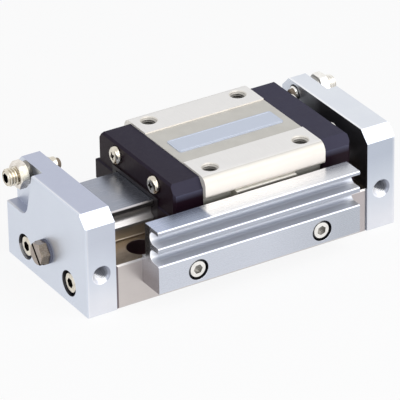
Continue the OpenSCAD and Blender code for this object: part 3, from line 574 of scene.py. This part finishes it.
def extruded(name, colour):
    """Extruded and anodised profile: fine die lines along it, with painted reflections on its top, the
    left cap's dark one among them, painted shade on its front, left end, counterbores and grooves, and
    painted highlights on its broken edges and the grooves' left ends.
    """
    f = Finish(name, colour, metallic=0.9, roughness=0.24)
    near_side, left_end = f.near_side(), f.facing("X").within(-0.8, -0.95)
    f.tint(f.level(), tone(240, 241, 244))
    # painted reflections on the top: the left cap's dark one, a light left end and a grey right half
    top = f.level() * f.above(26.8)
    f.tint(top * f.along("X", -16.9, -17.8) * 0.85, tone(137, 149, 174))
    f.tint(top * f.along("X", -30.5, -33.5) * 0.42, tone(207, 215, 241))
    f.tint(top * f.along("X", 14, 37) * 0.5, tone(156, 161, 175))
    # painted shade on the front's right half and upper part, and on the left end low down and on its back
    # wall
    f.tint(near_side * f.along("X", 2, 30) * 0.4, tone(146, 152, 160))
    f.tint(near_side * f.above(16.9) * 0.75, tone(174, 178, 190))
    f.tint(left_end * f.along("Z", 21, 11) * 0.8, tone(146, 138, 138))
    f.tint(left_end * f.along("Z", 16, 19) * f.along("Y", -30.4, -29.4) * 0.8, tone(52, 44, 42))
    lines = f.noise(0.16, 2, 0.6, (0.006, 1, 1))
    f.tint(lines.within(0.35, 0.7) * 0.07, tone(160, 166, 178))
    # painted shade in the counterbores and faintly in the grooves; painted highlights at the grooves' left
    # ends and on the edges
    f.tint(f.marked() * 0.9, tone(52, 54, 64))
    f.tint((f.marked("groove") > 0.5) * f.along("X", -34, -36.6), tone(252, 252, 254))
    f.tint(f.marked("edge") * 0.7, tone(252, 252, 254))
    f.rough(0.24 + lines * 0.06 + f.marked("groove") * 0.16)
    f.bump(lines, 0.0007)
    return f.material


def plated(name, colour, roughness=0.2, stains_and_reflections=0.34, near_flat_shade=None, lowest=-2.0):
    """Plated steel, slightly stained, the staining also standing in for dark reflections; painted shade
    in its sockets and on near flats that face above lowest, painted highlights on its broken edges.
    """
    f = Finish(name, colour, metallic=1.0, roughness=roughness)
    # painted shade on the near flats that face above lowest
    if near_flat_shade:
        f.tint(f.facing("Y").within(-0.4, -0.7) * (f.facing("Z") > lowest) * 0.8, near_flat_shade)
    # staining, partly real and partly standing in for dark reflections of the surroundings
    f.tint(f.noise(1.6, 3).within(0.4, 0.66) * stains_and_reflections, tone(140, 129, 112))
    f.tint(f.noise(0.35, 3).within(0.45, 0.75) * 0.2, tone(238, 235, 228))
    # painted shade in the sockets and recesses, painted highlights on the broken edges
    f.tint(f.marked() * 0.93, tone(26, 22, 18))
    f.tint(f.marked("edge") * 0.8, tone(252, 250, 244))
    f.rough(roughness - 0.05 + f.noise(0.8, 3) * 0.14)
    f.bump(f.noise(0.18, 2), 0.002)
    return f.material


def moulded(name, colour, left_top, right_top):
    """Moulded black plastic: a painted slate sheen on the upper faces and high on the flanks, and painted
    highlights on its broken edges.
    """
    f = Finish(name, colour, roughness=0.4, **{"Specular IOR Level": 0.1})
    # painted sheen high on the flanks and on the upper faces, darker over the left cap than the right
    f.tint(abs(f.facing("Y")).within(0.6, 0.9) * f.along("Z", 29.6, 31.8), tone(78, 78, 96))
    f.tint(f.facing("Z").within(0.3, 0.9), f.blend(f.along("X", -30, 30), left_top, right_top))
    f.tint(f.noise(7, 3).within(0.4, 0.7) * 0.12, tone(30, 20, 38))
    spark = f.noise(0.22, 2)
    f.tint(spark.within(0.5, 0.8) * 0.10, tone(84, 82, 96))
    # painted highlights on the broken edges
    f.tint(f.marked("edge") * 0.35, tone(92, 88, 102))
    f.rough(0.34 + f.noise(1.2, 3) * 0.18)
    f.bump(spark, 0.01)
    return f.material


def plain_plastic(name, colour, speck):
    f = Finish(name, colour, **{"Specular IOR Level": 0.35})
    f.tint(f.noise(1.5, 3).within(0.4, 0.75) * 0.25, speck)
    f.rough(0.42 + f.noise(0.7, 2) * 0.16)
    f.bump(f.noise(0.2, 2), 0.008)
    return f.material


def rubber(name, colour, speck):
    f = Finish(name, colour, roughness=0.62, **{"Specular IOR Level": 0.3})
    f.tint(f.noise(0.9, 3).within(0.4, 0.75) * 0.3, speck)
    f.bump(f.noise(0.25, 3), 0.01)
    return f.material


def polished(name, colour):
    f = Finish(name, colour, metallic=1.0, roughness=0.09)
    f.tint(f.noise(1.1, 2).within(0.5, 0.75) * 0.12, tone(170, 172, 180))
    f.rough(0.06 + f.noise(0.6, 2) * 0.08)
    f.bump(f.noise(0.5, 2), 0.001)
    return f.material


def foil(name, colour):
    """Bare label plate: brushed along its length, with a lacquer coat."""
    f = Finish(name, colour, metallic=0.45, roughness=0.3, **{"Coat Roughness": 0.12})
    brush = f.noise(0.12, 2, 0.6, (0.02, 1, 1))
    f.tint(brush.within(0.35, 0.7) * 0.2, tone(170, 182, 206))
    f.feed("Coat Weight", 0.3)
    f.rough(0.24 + brush * 0.14)
    f.bump(brush, 0.002)
    return f.material


# painted reflections on the plates' tops, darker on the left; the right plate's flanks in a darker painted
# shade
PLATES = {
    "left": anodised("plate_left_finish", tone(212, 218, 229), "left_end_plate", tone(180, 185, 204)),
    "right": anodised("plate_right_finish", tone(210, 216, 226), "right_end_plate", tone(222, 226, 233),
                      tone(174, 182, 197))}
RAIL = rail_steel("rail_finish")
BLOCK = block_steel("block_finish")
SWITCH = extruded("switch_rail_finish", tone(206, 210, 220))
NICKEL = plated("nickel_finish", tone(226, 219, 204))
# the left lock nut's and the plugs' near flats get painted shade
NUT_NICKEL = plated("nut_finish", tone(236, 230, 222), 0.26, near_flat_shade=tone(176, 174, 158), lowest=0.1)
# a lighter copy of the nickel finish: painted light for the fasteners that catch more of it
LIT_NICKEL = plated("lit_nickel_finish", tone(246, 244, 240), 0.22, 0.14)
DULL_NICKEL = plated("plug_finish", tone(160, 148, 140), 0.3, 0.46, tone(112, 98, 80))
# the right end's screws and nut take the lighter, painted-light copy; the left's the plain one
SCREWS = {"left": NICKEL, "right": LIT_NICKEL}
NUTS = {"left": NUT_NICKEL, "right": LIT_NICKEL}
# the caps' painted top sheen runs from darker over the left cap to lighter over the right
CAP = moulded("cap_finish", tone(27, 11, 21), tone(28, 20, 38), tone(50, 48, 68))
SCRAPER = plain_plastic("scraper_finish", tone(24, 17, 22), tone(44, 38, 46))
GUIDE = plain_plastic("guide_finish", tone(226, 226, 214), tone(206, 204, 190))
WEAR = plain_plastic("wear_ring_finish", tone(150, 112, 72), tone(122, 90, 58))
SEAL = rubber("seal_finish", tone(30, 30, 32), tone(52, 52, 56))
GASKET = rubber("gasket_finish", tone(88, 90, 104), tone(118, 120, 134))
BUMPER = rubber("bumper_finish", tone(126, 112, 98), tone(164, 150, 132))
BALL = polished("ball_finish", tone(212, 214, 222))
HARD_PIN = polished("pin_finish", tone(196, 197, 203))
STRIP = polished("strip_finish", tone(190, 192, 198))
LABEL = foil("label_finish", tone(194, 202, 218))
HOLDER = milled("holder_finish")
PISTON = anodised("piston_finish", tone(204, 208, 214))
MAGNET = plated("magnet_finish", tone(96, 96, 102), 0.35)
BRONZE = plated("bronze_finish", tone(190, 158, 98), 0.3)


def wear_it(piece, material):
    piece.data.materials.clear()
    piece.data.materials.append(material)


def settle(piece, body, material, slot, *nodes):
    """Gives a piece its finish and body; the solids that it stands for are hidden with the same finish."""
    wear_it(piece, material)
    for node in nodes:
        wear_it(frame["nodes"][node], material)
    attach(piece, body)
    if nodes:
        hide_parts(*nodes)


# ---------------------------------------------------------------- rail, plates, block and caps

def near_axis(point, axis, radius):
    """Whether a point is this near to a line, given by its two known coordinates and None along it."""
    known = [(a, b) for a, b in zip(point, axis) if b is not None]
    return math.dist(*zip(*known)) < radius


rail = broken_edges("guide_rail", "rail_ground", 0.12)
left_x = span("guide_rail")[0].x
_, hole_x, hole_y = holes("base_holes")
# marked for painted shade: the mounting holes, the slant round the left end at the plate's joint, and the
# bore
mark(rail, lambda c, n: near_axis((abs(c.x), abs(c.y), 0), (hole_x, hole_y, None), 4.9)
     and c.z < LEDGE_Z - 0.2)
mark(rail, lambda c, n: left_x + 0.02 < c.x < left_x + 0.85 and abs(n.x) > 0.3, 0.75)
mark(rail, lambda c, n: near_axis(c, (None, 0, BORE_Z), 8.2) and abs(n.x) < 0.9, 0.5)
settle(rail, "body", RAIL, "rail_steel", "guide_rail")

for end in ENDS:
    node = end + "_end_plate"
    plate = broken_edges(node, "plate_" + end, 0.26, 3)
    low, high = span(node)
    inner, outer = sorted((abs(low.x), abs(high.x)))
    port, _ = mount(end + "_side_port")
    screw_y, screw_z = span(end + "_plate_screws")[1].y - PLATE_HEAD_D / 2, centre(end + "_plate_screws").z
    # marked for painted shade: the screws' counterbores, the side port, the face on the rail, the nut's sill
    # and its seat
    mark(plate, lambda c, n: near_axis((0, abs(c.y), c.z), (None, screw_y, screw_z), 4.35)
         and abs(c.x) < outer - 0.18)
    mark(plate, lambda c, n: near_axis(c, (port.x, None, port.z), 2.6) and low.y + 0.3 < c.y < low.y + 7, 0.8)
    mark(plate, lambda c, n: abs(c.x) < inner + 0.1 and abs(n.x) > 0.9, 1.0, "inner")
    mark(plate, lambda c, n: abs(c.x) > outer - 3.8 and c.y > 8.2 and c.z < 22 and n.z > 0.2, 0.34)
    mark(plate, lambda c, n: outer - 5 < abs(c.x) < outer - 1 and abs(n.x) > 0.9 and c.y > 5, 1.0, "seat")
    settle(plate, "body", PLATES[end], "plate_aluminium", node)


def nearer_base(piece):
    """Draws the back of the switch rail's upper part a little nearer to the base."""
    foot_top, back_y = 16.5 * MM, -27.7 * MM
    open_some(piece, "points", lambda v: v.co.z > foot_top and abs(v.co.y - back_y) < 0.7 * MM)
    bpy.ops.transform.translate(value=(0, 0.8 * MM, 0))
    close()


switch_rail = broken_edges("switch_rail", "switch_rail_extruded", 0.12, reshape=nearer_base)
front_y = span("switch_rail")[0].y
screw_x, screw_z = span("switch_rail_screws")[1].x - SWITCH_HEAD_D / 2, centre("switch_rail_screws").z
# marked for painted shade in the screws' counterbores and, faintly, in the grooves
mark(switch_rail, lambda c, n: near_axis((abs(c.x), 0, c.z), (screw_x, None, screw_z), 3.6)
     and c.y > front_y + 0.15)
between = mount("switch_grooves")[0].z    # half-way up between the two grooves
for strength, kind in ((0.16, "recess"), (1.0, "groove")):
    mark(switch_rail, lambda c, n: abs(abs(c.z - between) - 3.1) < 2.2
         and front_y + 0.6 < c.y < front_y + 5.3 and abs(n.x) < 0.5, strength, kind)
settle(switch_rail, "body", SWITCH, "switch_rail_aluminium", "switch_rail")

block = broken_edges("slide_block", "block_ground", 0.22)
table, hole_x, hole_y = holes("table_holes")
# marked for painted shade in the table's tapped holes
mark(block, lambda c, n: near_axis((abs(c.x - table.x), abs(c.y), 0), (hole_x, hole_y, None), 2.6)
     and c.z < table.z - 0.3)
settle(block, "table", BLOCK, "block_steel", "slide_block")
for end in ENDS:
    cap, scraper = end + "_end_cap", end + "_scraper"
    settle(broken_edges(cap, "cap_" + end, 0.3), "table", CAP, "cap_plastic", cap)
    settle(broken_edges(scraper, "scraper_" + end, 0.08), "table", SCRAPER, "seal_rubber", scraper)
holder = broken_edges("magnet_holder", "holder_milled", 0.15)
settle(holder, "table", HOLDER, "holder_aluminium", "magnet_holder")


# ---------------------------------------------------------------- fasteners

def hex_pocket(across, depth):
    """The cutter for a hexagon socket, from above z = 0 down to its depth, its own edges just broken."""
    above = 1.0
    bpy.ops.mesh.primitive_cylinder_add(vertices=6, radius=across / math.sqrt(3) * MM,
                                        depth=(above + depth) * MM, location=(0, 0, (above - depth) / 2 * MM),
                                        rotation=(0, 0, math.radians(30)))
    pocket = made("pocket")
    bpy.ops.object.transform_apply(location=True, rotation=True, scale=True)
    return modify(pocket, "BEVEL", width=0.02 * MM, segments=1, limit_method="ANGLE",
                  angle_limit=math.radians(50))


def socket_head(name, d, head_d, head_h, hexagon, length, ridges=36):
    """A socket-head cap screw: its head's top at z = 0, knurled round the side, its shank down."""
    r, shank_r, e = head_d / 2, d / 2, head_h * 0.09
    foot = -length - head_h
    screw = turned(name, [(0, 0), (r - 2.4 * e, 0), (r - 1.1 * e, -0.35 * e), (r - 0.45 * e, -1.2 * e),
                          (r - 0.35 * e, -1.6 * e), (r, -1.9 * e), (r, -head_h + e), (r - e, -head_h),
                          (shank_r, -head_h), (shank_r, -head_h - 0.2), (shank_r - 0.05, -head_h - 0.4),
                          (shank_r - 0.05, foot + 0.5), (shank_r - 0.45, foot), (0, foot)], ridges * 2)

    def every_other(face):
        """Every other face round the head's side."""
        x, y, z = face.center
        step = math.degrees(math.atan2(y, x)) % 360 / (180 / ridges)
        on_side = math.hypot(x, y) > (r - 0.2 * e) * MM * 0.985 and -(head_h - e) * MM < z < -1.9 * e * MM
        return on_side and int(round(step - 0.5)) % 2

    open_some(screw, "faces", every_other)
    bpy.ops.mesh.inset(thickness=0.03 * r * MM, depth=-0.035 * r * MM, use_individual=True)
    close()
    cut(screw, hex_pocket(hexagon, head_h * 0.55))
    for top, facing_up, strength in ((-0.03, -2, 0.86), (-0.2 * head_h, 0.5, 0.45)):   # painted shade in the socket, lighter on its floor
        mark(screw, lambda c, n: math.hypot(c.x, c.y) < hexagon * 0.6 and -head_h * 0.7 < c.z < top
             and n.z > facing_up, strength)
    return smooth(screw, 30)


def cross_wing(length, width, depth, turn):
    """One wing of a cross recess, drawn in towards its foot."""
    bpy.ops.mesh.primitive_cube_add(size=1, location=(0, 0, 0), scale=(length * MM, width * MM, depth * MM))
    wing = made("wing")
    bpy.ops.object.transform_apply(location=True, rotation=True, scale=True)
    open_some(wing, "faces", lambda p: p.normal.z < -0.5)
    bpy.ops.transform.resize(value=(0.42, 0.62, 1))
    close()
    return put(wing, (0, 0, 0), turn=turn)


def pan_head(name, d, head_d, head_h, length, turn):
    """A pan-head screw with a cross recess: its head stands on z = 0."""
    r, shank_r = head_d / 2, d / 2
    crown = [(0, 1), (0.3, 0.99), (0.55, 0.955), (0.76, 0.88), (0.91, 0.72), (0.98, 0.5), (0.997, 0.25)]
    screw = turned(name, [*((r * x, head_h * z) for x, z in crown), (r * 0.985, 0.03), (r * 0.96, 0),
                          (shank_r, 0), (shank_r - 0.04, -length + 0.4), (shank_r - 0.4, -length),
                          (0, -length)], 72)
    top = head_h + 0.3
    wings = [cross_wing(head_d * 0.66, head_d * 0.15, 2 * (top - head_h * 0.3), turn + a) for a in (0, 90)]
    for wing in wings:
        put(wing, (0, 0, top))
    hub = turned("hub", [(0, head_h * 0.25), (head_d * 0.07, head_h * 0.3), (head_d * 0.15, top),
                         (0, top)], 24)
    cut(screw, *wings, hub)
    # painted shade in the cross recess
    mark(screw, lambda c, n: math.hypot(c.x, c.y) < head_d * 0.36 and 0.2 * head_h < c.z
         and (n.z < 0.75 or c.z < head_h * 0.6))
    return smooth(screw, 34)


def seat_pair(name, node, screws, way, inset, rise=0.0, turns=(0, 0)):
    """Seats two screws in place of their solid, heads facing the given way, inset from its two sides."""
    low, high = span(node)
    half, way = (high - low) / 2, Vector(way)
    across = Vector((abs(way.y), abs(way.x), 0))
    face = centre(node) + way * (abs(half.dot(way)) + rise)
    for screw, turn, s in zip(screws, turns, (-1, 1)):
        put(screw, face + across * s * (half.dot(across) - inset), way, turn)
    return weld(name, *screws)


def two(screw):
    """Two copies of a screw."""
    return [twin(screw, "head"), twin(screw, "head")]


plate_screw = socket_head("plate_screw", 4, PLATE_HEAD_D, 4, 3, 15)
switch_screw = socket_head("switch_screw", 3, SWITCH_HEAD_D + 0.4, 3, 2.8, 12.4, 30)
# painted shade in the socket
mark(switch_screw, lambda c, n: math.hypot(c.x, c.y) < 1.65 and -2.2 < c.z < -0.03, 0.6)
magnet_screw = socket_head("magnet_screw", 2, MAGNET_HEAD_D, 1.1, 1.3, 3.8, 24)

for end, side in ENDS.items():
    node = end + "_plate_screws"
    pair = seat_pair("plate_screws_" + end, node, two(plate_screw), (side, 0, 0), PLATE_HEAD_D / 2,
                     turns=(-3, 37))
    settle(pair, "body", NICKEL, "bright_fasteners", node)

pair = seat_pair("switch_rail_screw_pair", "switch_rail_screws", two(switch_screw), (0, -1, 0),
                 SWITCH_HEAD_D / 2, rise=0.5, turns=(3, 21))
settle(pair, "body", LIT_NICKEL, "bright_fasteners", "switch_rail_screws")

pair = seat_pair("magnet_screw_pair", "magnet_screws", two(magnet_screw), (0, -1, 0), MAGNET_HEAD_D / 2,
                 turns=(-6, 16))
settle(pair, "table", NICKEL, "bright_fasteners", "magnet_screws")

for end, side in ENDS.items():
    node = end + "_cap_screws"
    low, high = span(node)
    head_h = 2.1
    shank = high.x - low.x - head_h
    pair = [pan_head("cap_screw", 2.94, 5.98, head_h, shank, 24 + 9 * s + 7 * side) for s in (-1, 1)]
    pair = seat_pair("cap_screws_" + end, node, pair, (side, 0, 0), inset=3, rise=-head_h)
    settle(pair, "table", SCREWS[end], "bright_fasteners", node)
for spare in (plate_screw, switch_screw, magnet_screw):
    bpy.data.objects.remove(spare)


# ---------------------------------------------------------------- stop adjusters, nuts, plugs

def face_of(node, side):
    """The middle of a solid's left (-1) or right (1) face, and the length between the two."""
    low, high = span(node)
    at = (low + high) / 2
    at.x = high.x if side > 0 else low.x
    return at, high.x - low.x


SLOT_TILT = math.radians(40)    # how far the plugs' screwdriver slots are turned
tilt_y, tilt_z = math.cos(SLOT_TILT), math.sin(SLOT_TILT)

for end, side in ENDS.items():
    node = end + "_adjuster_bolt"
    at, length = face_of(node, side)
    foot = 2.46
    bolt = turned("bolt", [(0, 0), (1.9, 0), (2.08, -0.1), (foot, -0.5), (foot, -length + 1.9),
                           (2.5, -length + 1.8), (2.5, -length + 0.4), (2.1, -length), (0, -length)], 72)
    seat = turned("seat", [(0, -length + 2), (1.83, -length + 2), (1.83, -length - 1), (0, -length - 1)], 48)
    cut(bolt, hex_pocket(3, 3), seat)
    # painted shade in the socket
    mark(bolt, lambda c, n: math.hypot(c.x, c.y) < 1.8 and -3.5 < c.z < -0.03)
    smooth(bolt, 30)
    ridge = thread("ridge", foot, crest=2.93, pitch=1.0, low=-length + 2.0, high=-0.12)
    bolt = put(weld(end + "_adjuster_thread", bolt, ridge), at, (side, 0, 0), 10 + 20 * side)
    settle(bolt, end + "_adjuster", SCREWS[end], "bright_fasteners", node)

    node = end + "_bumper"
    at, length = face_of(node, -side)
    pad = turned(end + "_bumper_pad", [(0, 0), (0.9, -0.02), (1.35, -0.1), (1.62, -0.26), (1.76, -0.5),
                                       (1.8, -0.8), (1.8, -length + 0.1), (1.7, -length), (0, -length)], 48)
    put(smooth(pad, 40), at, (-side, 0, 0))
    settle(pad, end + "_adjuster", BUMPER, "bumper_rubber", node)

    node = end + "_lock_nut"
    nut = broken_edges(node, "nut_" + end, 0.24, angle=20)
    seat_x = min(abs(corner.x) for corner in span(node))
    # painted shade on the nut's back, next to its seat
    mark(nut, lambda c, n: abs(c.x) < seat_x + 1.6, 0.7)
    settle(nut, "body", NUTS[end], "bright_fasteners", node)

    node = end + "_port_plug"
    plug = broken_edges(node, "plug_" + end, 0.16, angle=20)
    face_x = max(abs(corner.x) for corner in span(node))
    # painted shade in the screwdriver slot
    mark(plug, lambda c, n: abs(c.y * tilt_y - (c.z - BORE_Z) * tilt_z) < 0.58
         and face_x - 1.3 < abs(c.x) < face_x - 0.03)
    settle(plug, "body", DULL_NICKEL, "plug_nickel", node)

    node = end + "_plug_gasket"
    settle(smooth(solid_copy(node, "gasket_" + end)), "body", GASKET, "seal_rubber", node)

# ---------------------------------------------------------------- tapped holes

tap = thread("tap", foot=2.5, crest=2.1, pitch=0.8, low=-8.6, high=-0.6)
# painted shade on the tapped threads
mark(tap, lambda c, n: True, 0.8)
table_taps = [put(twin(tap, "tap"), table + Vector((sx * hole_x, sy * hole_y, 0)))
              for sx in (-1, 1) for sy in (-1, 1)]
settle(weld("table_threads", *table_taps), "table", BLOCK, "block_steel")
for end in ENDS:
    mouth, _ = mount(end + "_side_port")
    mouth.y = span(end + "_end_plate")[0].y
    threads = put(twin(tap, end + "_port_thread"), mouth, (0, -1, 0), 40)
    settle(threads, "body", PLATES[end], "plate_aluminium")
bpy.data.objects.remove(tap)

# ---------------------------------------------------------------- label plate

low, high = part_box("label_plate")
bpy.ops.mesh.primitive_cube_add(size=1, location=(low + high) / 2, scale=(high - low))
label = made("bare_label")
bpy.ops.object.transform_apply(location=True, rotation=True, scale=True)
heights = [v.co.z for v in label.data.vertices]
open_some(label, "edges", lambda e: abs(heights[e.vertices[0]] - heights[e.vertices[1]]) > 0.1 * MM)
bpy.ops.mesh.bevel(offset=0.9 * MM, segments=6)
close()
open_some(label, "faces", lambda p: p.normal.z > 0.5)
bpy.ops.mesh.inset(thickness=0.04 * MM)
bpy.ops.transform.translate(value=(0, 0, 0.03 * MM))
for thickness, depth in ((0.5, 0), (0.05, -0.05), (0.16, 0), (0.05, 0.05)):   # a shallow groove all round
    bpy.ops.mesh.inset(thickness=thickness * MM, depth=depth * MM)
close()
settle(smooth(label, 25), "table", LABEL, "label_foil", "label_plate")

# ---------------------------------------------------------------- solids that stay as they are

for node, material in {
        "near_balls": BALL, "far_balls": BALL, "ball_retainers": STRIP, "sensing_magnet": MAGNET,
        "twin_piston": PISTON, "floating_bush": BRONZE, "drive_pin": HARD_PIN}.items():
    wear_it(frame["nodes"][node], material)
for end in ENDS:
    for rest, material in {"_bore_seal": SEAL, "_return_guides": GUIDE, "_piston_seal": SEAL,
                           "_wear_ring": WEAR}.items():
        wear_it(frame["nodes"][end + rest], material)


# ---------------------------------------------------------------- floor, light and camera

def seen(nodes):
    """1 for what the camera sees, straight or mirrored or through glass, 0 for what lights the piece."""
    path = nodes.add("LightPath")
    return (path["Is Camera Ray"] + path["Is Glossy Ray"] + path["Is Transmission Ray"]).within(0, 1)


PAPER_SHARE = 0.86   # how much of the floor's look is plain white, the rest being paper that takes the shadow
bpy.ops.mesh.primitive_circle_add(vertices=64, radius=2.5, fill_type="NGON", location=(0, 0, 0))
floor = made("studio_floor")
open_all(floor)
bpy.ops.mesh.inset(thickness=1.2)
close()
paper = bpy.data.materials.new("floor_paper")
n = Nodes(paper)
matt = n.add("BsdfDiffuse", {}, {"Color": (0.86, 0.86, 0.87, 1)})
white = n.add("Emission", {}, {"Color": (1, 1, 1, 1), "Strength": 1.0})
both = n.add("MixShader", {}, {"Fac": seen(n) * PAPER_SHARE, 1: matt["BSDF"], 2: white["Emission"]})
n.add("OutputMaterial", {}, {"Surface": both["Shader"]})
wear_it(floor, paper)

world = bpy.data.worlds.new("studio")
bpy.context.scene.world = world
n = Nodes(world)
soft = n.add("Background", {}, {"Color": (0.97, 0.98, 1.0, 1), "Strength": 0.5})
clean = n.add("Background", {}, {"Color": (1, 1, 1, 1), "Strength": 1.0})
both = n.add("MixShader", {}, {"Fac": seen(n), 1: soft["Background"], 2: clean["Background"]})
n.add("OutputWorld", {}, {"Surface": both["Shader"]})


def soft_box(name, at, size, watts):
    """An area lamp that looks at the middle of the table."""
    bpy.ops.object.light_add(type="AREA", location=at)
    lamp = bpy.context.view_layer.objects.active
    lamp.name = lamp.data.name = name
    lamp.data.shape = "SQUARE"
    lamp.data.size = size
    lamp.data.energy = watts
    lamp.rotation_euler = (Vector((0, 0, 0.02)) - Vector(at)).to_track_quat("-Z", "Y").to_euler()


soft_box("key_front", (0.35, -0.62, 0.75), 0.95, 4.6)
soft_box("fill_left", (-0.85, -0.35, 0.35), 0.9, 3.2)
soft_box("front_low", (-0.1, -1.0, 0.25), 0.8, 2.2)

azimuth, elevation, roll = (math.radians(a) for a in (-30.88, 28.64, -0.97))
to_right, to_top, distance = -0.81, 11.82, 1270.6
flat = math.cos(elevation)
back = Vector((math.sin(azimuth) * flat, -math.cos(azimuth) * flat, math.sin(elevation)))
right = Vector((math.cos(azimuth), math.sin(azimuth), 0))
up = back.cross(right)
right, up = right * math.cos(roll) + up * math.sin(roll), up * math.cos(roll) - right * math.sin(roll)
eye = (right * to_right + up * to_top + back * distance) * MM
bpy.ops.object.camera_add(location=eye)
camera = bpy.context.view_layer.objects.active
camera.data.sensor_width = 36
camera.data.lens = 360.9
camera.matrix_world = Matrix((right, up, back)).transposed().to_4x4()
camera.matrix_world.translation = eye
camera.data.clip_start, camera.data.clip_end = 0.05, 20
bpy.context.scene.camera = camera
bpy.context.scene.view_settings.view_transform = "Standard"
